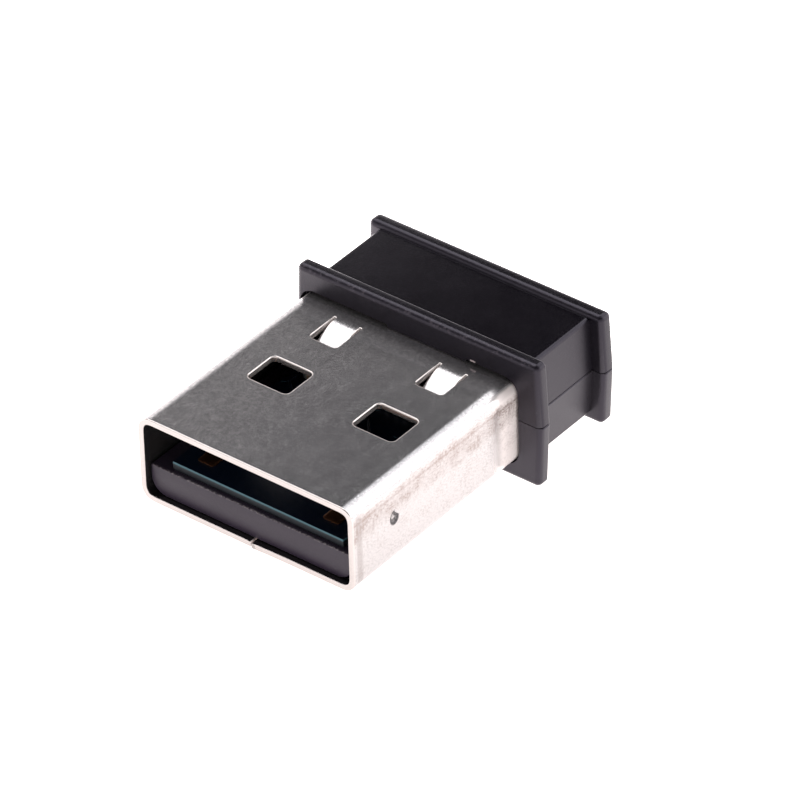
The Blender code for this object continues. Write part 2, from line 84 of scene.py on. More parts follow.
def add_softbox(name, direction, long_side, size, radiance):
    """Rectangular light that faces the object, with its long side along long_side."""
    away = Vector(direction).normalized()
    along = Vector(long_side)
    along = (along - away * along.dot(away)).normalized()
    across = away.cross(along)
    data = bpy.data.lights.new(name, "AREA")
    data.shape = "RECTANGLE"
    data.size, data.size_y = size
    data.energy = radiance * math.pi * size[0] * size[1]
    turn = Matrix((along, across, away)).transposed().to_4x4()
    new_object(name, data).matrix_world = Matrix.Translation(away * light_distance) @ turn


add_softbox("softbox_rear", (0.365, 0.624, 0.690), (0.868, 0.0, -0.496), (0.92, 0.42), 2.3)
add_softbox("softbox_overhead", (-0.47, 0.12, 0.86), (1.0, 0.0, 0.0), (0.50, 0.46), 2.9)


class Wire:
    """A shader socket that can be used in a sum: every operator adds its own Math node."""

    def __init__(self, finish, socket):
        self.finish = finish
        self.socket = socket

    def math(self, operation, first, second):
        return self.finish.node("ShaderNodeMath", {"operation": operation}, {0: first, 1: second})

    def __add__(self, other):
        return self.math("ADD", self, other)

    def __radd__(self, other):
        return self.math("ADD", other, self)

    def __sub__(self, other):
        return self.math("SUBTRACT", self, other)

    def __rsub__(self, other):
        return self.math("SUBTRACT", other, self)

    def __mul__(self, other):
        return self.math("MULTIPLY", self, other)

    def __rmul__(self, other):
        return self.math("MULTIPLY", other, self)

    def __pow__(self, other):
        return self.math("POWER", self, other)


class Finish:
    """A procedural material on a Principled shader, read from object coordinates."""

    def __init__(self, name, **uniform):
        self.material = bpy.data.materials.new(name)
        self.material.use_nodes = True
        self.tree = self.material.node_tree
        self.shader = self.tree.nodes["Principled BSDF"]
        self.where = self.node("ShaderNodeTexCoord", {}, {}, "Object")
        for socket_name, value in uniform.items():
            self.shader.inputs[socket_name.replace("_", " ")].default_value = value

    def node(self, kind, settings, sockets, output=0):
        """Add a node: its settings first, then the values or wires of its sockets."""
        made = self.tree.nodes.new(kind)
        for name, value in settings.items():
            setattr(made, name, value)
        for key, value in sockets.items():
            if isinstance(value, Wire):
                self.tree.links.new(value.socket, made.inputs[key])
            else:
                made.inputs[key].default_value = value
        return Wire(self, made.outputs[output])

    def noise(self, scale, detail=3.0, stretch=(1.0, 1.0, 1.0), shift=(0.0, 0.0, 0.0)):
        """Noise whose grains are 1 / scale metres, drawn out by a Mapping node."""
        place = self.node("ShaderNodeMapping", {},
                          {"Vector": self.where, "Scale": stretch, "Location": shift})
        return self.node("ShaderNodeTexNoise", {},
                         {"Vector": place, "Scale": scale, "Detail": detail, "Roughness": 0.6})

    def band(self, value, low, high):
        """0 where value is at low, 1 where it is at high, smooth between them."""
        return self.node("ShaderNodeMapRange", {"interpolation_type": "SMOOTHSTEP"},
                         {"Value": value, "From Min": low, "From Max": high})

    def axis(self, name):
        """One object coordinate, in metres."""
        return self.node("ShaderNodeSeparateXYZ", {}, {0: self.where}, name)

    def facing(self, name):
        """One coordinate of the surface's normal."""
        normal = self.node("ShaderNodeNewGeometry", {}, {}, "Normal")
        return self.node("ShaderNodeSeparateXYZ", {}, {0: normal}, name)

    def along(self, direction):
        """How far a place lies along a direction, in metres."""
        return self.node("ShaderNodeVectorMath", {"operation": "DOT_PRODUCT"},
                         {0: self.where, 1: direction}, "Value")

    def mix(self, mask, low, high, blend="MIX"):
        """Mix two colours by a mask."""
        sockets = {0: mask, 6: low, 7: high}
        return self.node("ShaderNodeMix", {"data_type": "RGBA", "blend_type": blend}, sockets, 2)

    def bump(self, height, distance):
        """Height in the range 0..1 as a bump of the given depth in metres."""
        return self.node("ShaderNodeBump", {}, {"Height": height, "Distance": distance})

    def feed(self, **wires):
        """Connect wires to the shader's sockets."""
        for name, wire in wires.items():
            self.tree.links.new(wire.socket, self.shader.inputs[name.replace("_", " ")])


def warm_white(level):
    """The light table's colour at a brightness."""
    return (level, 0.945 * level, 0.93 * level, 1.0)


table_white = Finish("light_table_white", Base_Color=(0.60, 0.58, 0.57, 1.0), Roughness=0.9,
                     Emission_Strength=1.0)
# Painted shadow: the table glows less towards the front left, where the rear softbox's shadow would fall. A
# brighter strip behind on the left lights the plug's left bend.
rear_right = table_white.band(table_white.along((0.75, 0.66, 0.0)), -0.004, 0.012)
rear_left = table_white.band(table_white.along((-0.7, 0.7, 0.0)), 0.0062, 0.0088)
table_glow = table_white.mix(rear_right, warm_white(1.05), warm_white(1.55))
table_glow = table_white.mix(rear_left, table_glow, warm_white(2.5), "ADD")
table_white.feed(Emission_Color=table_glow)
table_mesh = bpy.data.meshes.new("light_table")
table_corners = [(x * table_half, y * table_half, table_z) for x, y in ((-1, -1), (1, -1), (1, 1), (-1, 1))]
table_mesh.from_pydata(table_corners, [], [(0, 1, 2, 3)])
table_mesh.materials.append(table_white.material)
new_object("light_table", table_mesh)

studio = bpy.data.worlds.new("studio")
bpy.context.scene.world = studio
studio.use_nodes = True
studio_nodes = studio.node_tree.nodes
studio_way = studio_nodes.new("ShaderNodeTexCoord")
studio_split = studio_nodes.new("ShaderNodeSeparateXYZ")
studio_ramp = studio_nodes.new("ShaderNodeValToRGB")
for element, position, color in zip(studio_ramp.color_ramp.elements, (0.41, 0.52),
                                    ((1.75, 1.70, 1.69, 1.0), (0.020, 0.019, 0.021, 1.0))):
    element.position = position
    element.color = color
studio.node_tree.links.new(studio_way.outputs["Generated"], studio_split.inputs[0])
studio.node_tree.links.new(studio_split.outputs["Z"], studio_ramp.inputs[0])
studio.node_tree.links.new(studio_ramp.outputs[0], studio_nodes["Background"].inputs["Color"])

# ---- plug shell ----------------------------------------------------------------------------------
# The real piece is stamped from 0.3 mm nickel-plated steel strip, with two latch holes, two springs
# cut free on three sides and pushed in, and a press mark on each side. It is then folded into a
# 12.0 x 4.5 mm tube whose edges meet in a seam underneath. Its rear tongue runs into the housing.

shell_low, shell_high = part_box("plug_shell")
plug_origin = Vector((0.5 * (shell_low.x + shell_high.x), shell_low.y,
                      0.5 * (shell_low.z + shell_high.z)))
shell_half_width = 0.5 * (shell_high.x - shell_low.x)
shell_half_height = 0.5 * (shell_high.z - shell_low.z)
sheet = 0.00030
bend_size = 0.00090
bend_power = 2.68
shell_length = 0.01192
seam_x = 0.00020
seam_half_gap = 0.00003
tongue_x = (-0.0010, 0.0031)
tongue_reach = 0.0014
lane_x = 0.00018
latch_hole_x = (0.00180, 0.00410)
latch_hole_y = (0.00500, 0.00695)
window_x = (0.00220, 0.00372)
window_y = (0.00898, 0.01081)
spring_slit = 0.00007
spring_angle = math.radians(23.0)
spring_bend_length = 0.00075
press_mark_y = 0.00285
press_mark_z = 0.00025
press_mark_size = 0.00031
press_mark_depth = 0.00011
press_lip_height = 0.000012
outer_edge_round = 0.00005
inner_edge_round = 0.00003
face_margin = 0.000035
point_margin = 0.00004
latch_hole_round = 0.00026
spring_round = 0.00020
tongue_round = 0.00020
bend_steps = 60
bend_column = 0.00006
flat_columns = (0.00040, 0.00030, 0.00035, 0.00030, 0.00040)
row_step = 0.00035
seam_lip = (0.0028, 0.0030)
seam_lip_rise = 0.00006


def section_outline():
    """Outside of the folded section in X and Z, from one lip of the seam round to the other."""
    side = shell_half_width - bend_size
    level = shell_half_height - bend_size
    points = [(seam_x + seam_half_gap, -shell_half_height)]
    for center_x, center_z, start in ((side, -level, 270), (side, level, 0), (-side, level, 90),
                                      (-side, -level, 180)):
        for step in range(bend_steps + 1):
            turn = math.radians(start + 90.0 * step / bend_steps)
            across = math.copysign(abs(math.cos(turn)) ** (2.0 / bend_power), math.cos(turn))
            upward = math.copysign(abs(math.sin(turn)) ** (2.0 / bend_power), math.sin(turn))
            points.append((center_x + bend_size * across, center_z + bend_size * upward))
    points.append((seam_x - seam_half_gap, -shell_half_height))
    return np.array(points)


outline = section_outline()
travel = np.concatenate([[0.0], np.cumsum(np.linalg.norm(np.diff(outline, axis=0), axis=1))])
strip_width = float(travel[-1])
bend_starts = [1 + bend * (bend_steps + 1) for bend in range(4)]
side_start, roof_start, left_start = (float(travel[start + bend_steps]) for start in bend_starts[:3])


def roof_u(x):
    """Place across the flat strip of a point on the plug's top."""
    return roof_start + (shell_half_width - bend_size) - x


def side_u(side, z):
    """Place across the flat strip of a point on the plug's right (1) or left (-1) side."""
    if side > 0:
        return side_start + (shell_half_height - bend_size) + z
    return left_start + (shell_half_height - bend_size) - z


def spread(low, high, step):
    """Evenly spaced values from low to high, about step apart."""
    return list(np.linspace(low, high, max(2, int(round((high - low) / step)) + 1)))


stretches = [0]
for start in bend_starts:
    stretches += [start, start + bend_steps]
stretches.append(len(travel) - 1)
columns = []
for number, (first, last) in enumerate(zip(stretches, stretches[1:])):
    step = bend_column if number % 2 else flat_columns[number // 2]
    columns += spread(travel[first], travel[last], step)
columns = np.unique(np.round(columns, 7))
rows = np.array(spread(0.0, shell_length, row_step))


def quarter(center_u, center_v, radius, start_degrees, steps):
    """Points of a quarter turn, anticlockwise from its start angle."""
    turns = [math.radians(start_degrees + 90.0 * step / steps) for step in range(steps + 1)]
    return [(center_u + radius * math.cos(t), center_v + radius * math.sin(t)) for t in turns]


def rounded_loop(low_u, high_u, low_v, high_v, radius, steps=7):
    """Rounded rectangle on the flat strip, clockwise, so that the sheet lies on its left."""
    loop = []
    for center_u, center_v, start in ((high_u - radius, high_v - radius, 90),
                                      (high_u - radius, low_v + radius, 0),
                                      (low_u + radius, low_v + radius, -90),
                                      (low_u + radius, high_v - radius, -180)):
        for step in range(steps + 1):
            turn = math.radians(start - 90.0 * step / steps)
            loop.append((center_u + radius * math.cos(turn), center_v + radius * math.sin(turn)))
    return loop


def spring_loop(low_u, high_u):
    """U-shaped cut round a spring, clockwise: the window's edge outside, the spring's edge inside."""
    front, rear = window_y
    corner = front + spring_round
    outer = [(low_u, v) for v in np.linspace(rear, corner, 9)[:-1]]
    outer += quarter(low_u + spring_round, corner, spring_round, 180.0, 7)
    outer += [(u, front) for u in np.linspace(low_u + spring_round, high_u - spring_round, 6)[1:-1]]
    outer += quarter(high_u - spring_round, corner, spring_round, 270.0, 7)
    outer += [(high_u, v) for v in np.linspace(corner, rear, 9)[1:]]
    center = 0.5 * (low_u + high_u)
    shrink_u = (0.5 * (high_u - low_u) - spring_slit) / (0.5 * (high_u - low_u))
    shrink_v = (rear - front - spring_slit) / (rear - front)
    inner = [(center + (u - center) * shrink_u, rear + (v - rear) * shrink_v) for u, v in outer[::-1]]
    return (outer + inner)[::-1]


strip_loops = []
tongue_u = sorted(roof_u(x) for x in tongue_x)
rim = [(u, 0.0) for u in columns]
rim += [(strip_width, v) for v in rows[1:]]
rim += [(u, shell_length) for u in columns[::-1] if tongue_u[1] + tongue_round < u < strip_width - 1e-6]
rim += [(tongue_u[1], shell_length), (tongue_u[1], shell_length + 0.5 * tongue_reach)]
tongue_corner = shell_length + tongue_reach - tongue_round
rim += quarter(tongue_u[1] - tongue_round, tongue_corner, tongue_round, 0.0, 5)
rim += quarter(tongue_u[0] + tongue_round, tongue_corner, tongue_round, 90.0, 5)
rim += [(tongue_u[0], shell_length + 0.5 * tongue_reach), (tongue_u[0], shell_length)]
rim += [(u, shell_length) for u in columns[::-1] if 1e-6 < u < tongue_u[0] - tongue_round]
rim += [(0.0, v) for v in rows[::-1][:-1]]
strip_loops.append(rim)
spring_spans = []
for side in (-1.0, 1.0):
    hole_u = sorted(roof_u(lane_x + side * edge) for edge in latch_hole_x)
    strip_loops.append(rounded_loop(*hole_u, *latch_hole_y, latch_hole_round))
    span = sorted(roof_u(lane_x + side * edge) for edge in window_x)
    spring_spans.append(span)
    strip_loops.append(spring_loop(*span))


def shifted(loop, distance):
    """The loop moved into the sheet, which lies on its left."""
    here = np.array(loop)
    ahead = np.roll(here, -1, axis=0) - here
    ahead /= np.linalg.norm(ahead, axis=1)[:, None]
    behind = np.roll(ahead, 1, axis=0)
    left_ahead = np.stack([-ahead[:, 1], ahead[:, 0]], axis=1)
    left_behind = np.stack([-behind[:, 1], behind[:, 0]], axis=1)
    share = 1.0 + np.sum(left_ahead * left_behind, axis=1)
    return here + (left_ahead + left_behind) / np.maximum(share, 0.5)[:, None] * distance


def inside(points, loop):
    """Which points lie inside the closed loop."""
    low = np.array(loop)
    high = np.roll(low, -1, axis=0)
    x, y = points[:, 0][:, None], points[:, 1][:, None]
    crosses = (low[:, 1] > y) != (high[:, 1] > y)
    with np.errstate(divide="ignore", invalid="ignore"):
        at = (high[:, 0] - low[:, 0]) * (y - low[:, 1]) / (high[:, 1] - low[:, 1]) + low[:, 0]
    return np.sum(crosses & (x < at), axis=1) % 2 == 1


def clearance(points, loop):
    """Distance from each point to the loop."""
    low = np.array(loop)
    step = np.roll(low, -1, axis=0) - low
    along = points[:, None, :] - low[None]
    share = np.clip(np.sum(along * step, axis=2) / np.sum(step * step, axis=1), 0.0, 1.0)
    return np.min(np.linalg.norm(along - share[..., None] * step, axis=2), axis=1)


def teardrop(turn):
    """Radius of the press mark in a direction of the strip; its point is towards the plug's top."""
    return press_mark_size * (1.0 + 0.35 * max(0.0, math.cos(turn)) ** 5)


press_points = []
for side in (1.0, -1.0):
    for ring in (0.0, 0.3, 0.55, 0.75, 0.9, 1.0, 1.12, 1.3, 1.6, 2.0):
        for step in range(1 if ring == 0.0 else 36):
            turn = math.tau * step / 36
            reach = ring * teardrop(turn)
            press_points.append((side_u(side, press_mark_z) + side * reach * math.cos(turn),
                                 press_mark_y + reach * math.sin(turn)))
spring_points = [(u, v) for span in spring_spans
                 for u in np.linspace(span[0] + 0.0001, span[1] - 0.0001, 7)
                 for v in np.linspace(window_y[0], window_y[1] + 0.0002, 34)]
grid = np.array([(u, v) for u in columns for v in rows])
press_centers = [np.array((side_u(side, press_mark_z), press_mark_y)) for side in (1.0, -1.0)]
for press_center in press_centers:
    grid = grid[np.linalg.norm(grid - press_center, axis=1) > 2.2 * press_mark_size]
for span in spring_spans:
    near = (grid[:, 0] > span[0] - 0.00005) & (grid[:, 0] < span[1] + 0.00005)
    grid = grid[~(near & (grid[:, 1] > window_y[0] - 0.00005) & (grid[:, 1] < window_y[1] + 0.00025))]
sheet_points = np.concatenate([grid, np.array(press_points), np.array(spring_points)])


def fill_between(loops, margin):
    """Triangles of the sheet inside its loops: points, triangles, and where each loop's points are."""
    keep = inside(sheet_points, loops[0])
    for loop in loops[1:]:
        keep &= ~inside(sheet_points, loop)
    for loop in loops:
        keep &= clearance(sheet_points, loop) > margin
    points = np.concatenate([*loops, sheet_points[keep]])
    edges = []
    start = 0
    for loop in loops:
        edges += [(start + i, start + (i + 1) % len(loop)) for i in range(len(loop))]
        start += len(loop)
    found, _, triangles, origins, _, _ = delaunay_2d_cdt(
        [Vector(p * 1000.0) for p in points], edges, [], 0, 1e-6)
    flat = np.array([tuple(p) for p in found]) / 1000.0
    triangles = np.array([tuple(t) for t in triangles])
    centers = flat[triangles].mean(axis=1)
    wanted = inside(centers, loops[0])
    for loop in loops[1:]:
        wanted &= ~inside(centers, loop)
    index = {}
    for place, sources in enumerate(origins):
        for source in sources:
            index[source] = place
    return flat, triangles[wanted], [index[i] for i in range(start)]


profile = []
for turn in (0, 30, 60, 90):
    profile.append((outer_edge_round * (1.0 - math.sin(math.radians(turn))),
                    outer_edge_round * (1.0 - math.cos(math.radians(turn)))))
profile.append((0.0, 0.5 * sheet))
for turn in (90, 60, 30, 0):
    profile.append((inner_edge_round * (1.0 - math.sin(math.radians(turn))),
                    sheet - inner_edge_round * (1.0 - math.cos(math.radians(turn)))))

strip_points = []
strip_faces = []
strip_cut = []
strip_inner = []


def add_face_of_sheet(inset, depth, flip):
    """One face of the sheet; returns where its boundary points are."""
    loops = [shifted(loop, inset) for loop in strip_loops]
    flat, triangles, boundary = fill_between(loops, point_margin)
    start = len(strip_points)
    strip_points.extend((u, v, depth) for u, v in flat)
    strip_cut.extend([0.0] * len(flat))
    strip_inner.extend([1.0 if depth > 0.0 else 0.0] * len(flat))
    order = (0, 2, 1) if flip else (0, 1, 2)
    strip_faces.extend(tuple(start + t[i] for i in order) for t in triangles)
    return [start + i for i in boundary]


outer_boundary = add_face_of_sheet(outer_edge_round + face_margin, 0.0, True)
inner_boundary = add_face_of_sheet(inner_edge_round + face_margin, sheet, False)
offset = 0
for loop in strip_loops:
    count = len(loop)
    rings = [outer_boundary[offset:offset + count]]
    for inset, depth in profile:
        start = len(strip_points)
        strip_points.extend((u, v, depth) for u, v in shifted(loop, inset))
        strip_cut.extend([1.0] * count)
        strip_inner.extend([1.0 if depth == sheet else 0.0] * count)
        rings.append(list(range(start, start + count)))
    rings.append(inner_boundary[offset:offset + count])
    for upper, lower in zip(rings, rings[1:]):
        for i in range(count):
            j = (i + 1) % count
            strip_faces.append((upper[i], upper[j], lower[j], lower[i]))
    offset += count

strip = np.array(strip_points)
for press_center, side in zip(press_centers, (1.0, -1.0)):
    away = strip[:, :2] - press_center
    turn = np.arctan2(away[:, 1], side * away[:, 0])
    reach = np.linalg.norm(away, axis=1) / np.array([teardrop(t) for t in turn])
    bowl = np.clip(1.0 - reach ** 2, 0.0, 1.0) ** 0.7
    lip = np.exp(-((reach - 1.12) / 0.10) ** 2)
    strip[:, 2] += (press_mark_depth * bowl - press_lip_height * lip) * (1.0 - 0.5 * strip[:, 2] / sheet)
spring_steps = np.linspace(0.0, window_y[1] - window_y[0], 200)
bend_share = np.clip(spring_steps / spring_bend_length, 0.0, 1.0)
bend_turn = spring_angle * bend_share ** 2 * (3.0 - 2.0 * bend_share)
bend_run = np.concatenate([[0.0], np.cumsum(np.cos(bend_turn[1:]) * np.diff(spring_steps))])
bend_drop = np.concatenate([[0.0], np.cumsum(np.sin(bend_turn[1:]) * np.diff(spring_steps))])
half_slit = 0.5 * spring_slit
for low_u, high_u in spring_spans:
    on_spring = (strip[:, 0] > low_u + half_slit) & (strip[:, 0] < high_u - half_slit)
    on_spring &= (strip[:, 1] > window_y[0] + half_slit) & (strip[:, 1] < window_y[1])
    reach = window_y[1] - strip[on_spring, 1]
    turn = np.interp(reach, spring_steps, bend_turn)
    depth = strip[on_spring, 2]
    strip[on_spring, 1] = window_y[1] - np.interp(reach, spring_steps, bend_run) + depth * np.sin(turn)
    strip[on_spring, 2] = np.interp(reach, spring_steps, bend_drop) + depth * np.cos(turn)
lip_share = np.clip(1.0 - strip[:, 0] / seam_lip[0], 0.0, 1.0)
lip_share *= np.clip(1.0 - strip[:, 1] / seam_lip[1], 0.0, 1.0)
strip[:, 2] -= seam_lip_rise * lip_share ** 2

strip_mesh = bpy.data.meshes.new("plug_shell_strip")
strip_mesh.from_pydata([(u, v, -depth) for u, v, depth in strip], [], strip_faces)
strip_mesh.attributes.new("cut_edge", "FLOAT", "POINT").data.foreach_set("value", strip_cut)
strip_mesh.attributes.new("inner_face", "FLOAT", "POINT").data.foreach_set("value", strip_inner)
strip_mesh.shade_smooth()
shell_strip = new_object("plug_shell_strip", strip_mesh)


def new_routes(name, routes):
    """Curve object with one straight-sided spline for each route of points."""
    curve = bpy.data.curves.new(name, "CURVE")
    curve.dimensions = "3D"
    for route in routes:
        spline = curve.splines.new("POLY")
        spline.points.add(len(route) - 1)
        for point, place in zip(spline.points, route):
            point.co = (*place, 1.0)
    return new_object(name, curve)


plug_section = new_routes("plug_section", [[(plug_origin.x + x, plug_origin.y, plug_origin.z + z)
                                            for x, z in outline]])


class Rule:
    """A Geometry Nodes tree with named inputs, used once on one object and then made a plain mesh."""

    def __init__(self, name, inputs):
        self.tree = bpy.data.node_groups.new(name, "GeometryNodeTree")
        self.tree.interface.new_socket("Geometry", in_out="INPUT", socket_type="NodeSocketGeometry")
        self.keys = {}
        self.values = {}
        for label, (kind, value) in inputs.items():
            socket = self.tree.interface.new_socket(label, in_out="INPUT", socket_type=kind)
            self.keys[label] = socket.identifier
            self.values[label] = value
        self.tree.interface.new_socket("Geometry", in_out="OUTPUT", socket_type="NodeSocketGeometry")
        self.given = self.tree.nodes.new("NodeGroupInput")

    def input(self, label):
        return self.given.outputs[label]

    def node(self, kind, settings, sockets, output=0):
        """Add a node: its settings first, then the values or links of its sockets."""
        made = self.tree.nodes.new(kind)
        for name, value in settings.items():
            setattr(made, name, value)
        for key, value in sockets.items():
            if isinstance(value, bpy.types.NodeSocket):
                self.tree.links.new(value, made.inputs[key])
            else:
                made.inputs[key].default_value = value
        return made.outputs[output]

    def finish(self, geometry, material, holder):
        """End the tree, run it on the holder and return the result as a plain mesh."""
        real = self.node("GeometryNodeRealizeInstances", {}, {"Geometry": geometry})
        painted = self.node("GeometryNodeSetMaterial", {}, {"Geometry": real, "Material": material})
        out = self.tree.nodes.new("NodeGroupOutput")
        self.tree.links.new(painted, out.inputs[0])
        modifier = holder.modifiers.new(self.tree.name, "NODES")
        modifier.node_group = self.tree
        for label, value in self.values.items():
            modifier[self.keys[label]] = value
        bpy.context.view_layer.update()
        depsgraph = bpy.context.evaluated_depsgraph_get()
        made = bpy.data.meshes.new_from_object(holder.evaluated_get(depsgraph))
        bpy.data.objects.remove(holder)
        return made


def add_piece(name, mesh, slot, *nodes):
    """Show a finished mesh as a piece that rides on the object and stands for its CAD nodes."""
    mesh.name = name
    piece = new_object(name, mesh)
    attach(piece, "root")
    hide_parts(*nodes)


steel = Finish("nickel_plated_steel")
steel_up = steel.axis("Z") - plug_origin.z
steel_along = steel.axis("Y") - plug_origin.y
cut_edge = steel.node("ShaderNodeAttribute", {"attribute_name": "cut_edge"}, {}, "Fac")
inner_face = steel.node("ShaderNodeAttribute", {"attribute_name": "inner_face"}, {}, "Fac")
rolled = steel.noise(2600.0, 4.0, (1.0, 0.35, 1.0))
cloud = steel.noise(420.0, 3.0)
grain = steel.noise(14000.0, 2.0, (1.0, 0.5, 1.0))
blotch = steel.noise(1500.0, 5.0, (1.0, 0.7, 1.0))
streaks = steel.noise(9000.0, 2.0, (1.0, 1.0, 0.12))
facing_side = steel.facing("X")
facing_side = facing_side * facing_side
on_side = steel.band(facing_side, 0.80, 0.97)
# Painted highlight: the shell's sides and bends just in front of the housing are coloured pale and made less
# metallic, so that they stay bright up to the flange.
housing_end_highlight = steel.band(steel_along, 0.0097, 0.0107) * steel.band(facing_side, 0.10, 0.55)
on_press = steel.band(facing_side, 0.20, 0.50)
stain_zone = steel.band(steel_up + blotch * 0.0006, 0.0005, 0.0011) * steel.band(steel_up, 0.00180, 0.00155)
speckle = steel.band(grain * 0.5 + streaks * 0.3 + blotch * 0.2, 0.38, 0.62)
stain = on_side * stain_zone * (0.35 + 0.45 * steel.band(blotch, 0.30, 0.60)) * (0.35 + speckle * 0.60)
stain_line = steel.band(steel_up, 0.00134, 0.00140) * steel.band(steel_up, 0.00154, 0.00146)
stain = stain + on_side * stain_line * 0.30
stain = stain + on_side * steel.band(blotch * 0.5 + grain * 0.5, 0.50, 0.62) * 0.26
# Painted shade of a slight step a little behind the mouth: a darker line down each side.
front_step_shade = on_side * steel.band(steel_along, 0.00020, 0.00030) * steel.band(steel_along, 0.0007, 0.0005)
bright = steel.mix(cloud, (0.565, 0.545, 0.555, 1.0), (0.625, 0.590, 0.600, 1.0))
bright = steel.mix(rolled * 0.35, bright, (0.50, 0.49, 0.495, 1.0))
toward_left = steel.band(steel.axis("X"), 0.0042, -0.0062)
on_roof = steel.band(steel.facing("Z"), 0.90, 0.99)
toward_housing = steel.band(steel_along, 0.0075, 0.0108)
# Painted shade: the roof is coloured darker, except towards its left edge and towards the housing.
roof_shade = on_roof * (1.0 - toward_left) * (1.0 - toward_housing)
bright = steel.mix(roof_shade * 0.85, bright, (0.34, 0.335, 0.345, 1.0))
pepper = steel.noise(8500.0, 2.0, (1.0, 1.0, 1.0), (0.3, 0.1, 0.2))
bright = steel.mix(steel.band(grain, 0.40, 0.66) * 0.40, bright, (0.30, 0.29, 0.30, 1.0))
bright = steel.mix(on_roof * steel.band(pepper, 0.42, 0.64) * 0.45, bright, (0.27, 0.265, 0.28, 1.0))
bright = steel.mix(on_roof * steel.band(pepper, 0.40, 0.30) * 0.30, bright, (0.85, 0.83, 0.85, 1.0))
bright = steel.mix(on_side * 0.40, bright, (0.50, 0.475, 0.465, 1.0))
bright = steel.mix(housing_end_highlight * 0.95, bright, (0.96, 0.89, 0.87, 1.0))
press_y = steel_along - press_mark_y
press_z = steel_up - press_mark_z
press_taper = 1.0 + 1.5 * steel.band(press_z, 0.0, press_mark_size * 1.3)
press_reach = ((press_y * press_taper) ** 2.0 + (press_z * 0.86) ** 2.0) ** 0.5
# Painted shade in the press mark: a dark teardrop with a lighter core, which also makes the surface rougher
# there.
press_mark_shade = steel.band(press_reach, press_mark_size * 1.12, press_mark_size * 0.90)
press_core = steel.band(press_reach + grain * 0.00008, press_mark_size * 0.62, press_mark_size * 0.30)
press_mark_shade = press_mark_shade * (1.0 - 0.85 * press_core)
press_mark_shade = press_mark_shade * on_press * (0.80 + 0.20 * steel.band(grain, 0.40, 0.55))
# The base colour adds the side stain, lighter cut edges and painted shade: the front step line, the press
# mark and the near-black inner face.
stained_and_shaded = steel.mix(stain * 0.95, bright, (0.310, 0.252, 0.235, 1.0))
stained_and_shaded = steel.mix(front_step_shade * 0.45, stained_and_shaded, (0.30, 0.26, 0.25, 1.0))
stained_and_shaded = steel.mix(press_mark_shade * 0.85, stained_and_shaded, (0.020, 0.017, 0.019, 1.0))
stained_and_shaded = steel.mix(cut_edge * 0.8, stained_and_shaded, (0.64, 0.585, 0.565, 1.0))
# Painted shade: the inside of the tube is coloured near black.
stained_and_shaded = steel.mix(inner_face * 0.95, stained_and_shaded, (0.045, 0.042, 0.044, 1.0))
relief = steel.bump(rolled * 0.4 + grain * 0.6, 0.0000022)
steel.feed(Base_Color=stained_and_shaded, Roughness=0.17 + rolled * 0.07 + press_mark_shade * 0.4,
           Metallic=0.87 - on_side * 0.10 - housing_end_highlight * 0.64, Normal=relief)

fold = Rule("fold_strip_into_plug", {"Section": ("NodeSocketObject", plug_section)})
section_source = fold.node("GeometryNodeObjectInfo", {"transform_space": "RELATIVE"},
                           {"Object": fold.input("Section")}, "Geometry")
flat_place = fold.node("GeometryNodeInputPosition", {}, {})
flat_split = fold.node("ShaderNodeSeparateXYZ", {}, {0: flat_place})
on_section = fold.node("GeometryNodeSampleCurve", {"mode": "LENGTH"},
                       {"Curves": section_source, "Length": flat_split}, "Position")
section_node = on_section.node
length_way = fold.node("FunctionNodeInputVector", {"vector": (0.0, 1.0, 0.0)}, {})
outward = fold.node("ShaderNodeVectorMath", {"operation": "CROSS_PRODUCT"},
                    {0: length_way, 1: section_node.outputs["Tangent"]})
lifted = fold.node("ShaderNodeVectorMath", {"operation": "SCALE"},
                   {0: outward, "Scale": flat_split.node.outputs["Z"]})
along = fold.node("ShaderNodeCombineXYZ", {}, {"Y": flat_split.node.outputs["Y"]})
folded = fold.node("ShaderNodeVectorMath", {"operation": "ADD"}, {0: on_section, 1: lifted})
folded = fold.node("ShaderNodeVectorMath", {"operation": "ADD"}, {0: folded, 1: along})
placed = fold.node("GeometryNodeSetPosition", {},
                   {"Geometry": fold.input("Geometry"), "Position": folded})
shell_mesh = fold.finish(placed, steel.material, shell_strip)
bpy.data.objects.remove(plug_section)
add_piece("plug_shell_folded", shell_mesh, "plug_shell", "plug_shell")

# ---- contact carrier -----------------------------------------------------------------------------
# The real piece is a block of glass-filled black plastic moulded to lie on the plug's floor. It has
# rounded lower corners, a shallow bed for the circuit board, and a pale line along its front top edge,
# painted highlight broken up by grain like a little flash.

carrier_low, carrier_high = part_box("contact_carrier")
carrier_corner = 0.00085
carrier_edge = 0.00006
board_low, board_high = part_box("circuit_board")
board_half_width = 0.004765
board_center_x = plug_origin.x + lane_x
bed_gap = 0.00003


def lofted(sections, closed_ring=True):
    """Closed bmesh through rings of points of equal count, capped at both ends."""
    bm = bmesh.new()
    rings = [[bm.verts.new(point) for point in ring] for ring in sections]
    for near, far in zip(rings, rings[1:]):
        for index in range(len(near) if closed_ring else len(near) - 1):
            after = (index + 1) % len(near)
            bm.faces.new((near[index], near[after], far[after], far[index]))
    bm.faces.new(rings[0])
    bm.faces.new(rings[-1][::-1])
    if not closed_ring:
        bm.faces.new([ring[0] for ring in rings] + [ring[-1] for ring in reversed(rings)])
    return bm


def block(low, high):
    """Box between two corners."""
    bm = bmesh.new()
    bmesh.ops.create_cube(bm, size=1.0)
    for vert in bm.verts:
        for axis in range(3):
            vert.co[axis] = low[axis] if vert.co[axis] < 0 else high[axis]
    return bm


def to_mesh(name, bm, material=None, sharp_degrees=40.0):
    """Turn a bmesh into a mesh, shaded smooth except at sharp edges."""
    bmesh.ops.recalc_face_normals(bm, faces=bm.faces)
    mesh = bpy.data.meshes.new(name)
    bm.to_mesh(mesh)
    bm.free()
    mesh.shade_smooth()
    mesh.set_sharp_from_angle(angle=math.radians(sharp_degrees))
    if material is not None:
        mesh.materials.append(material)
    return mesh


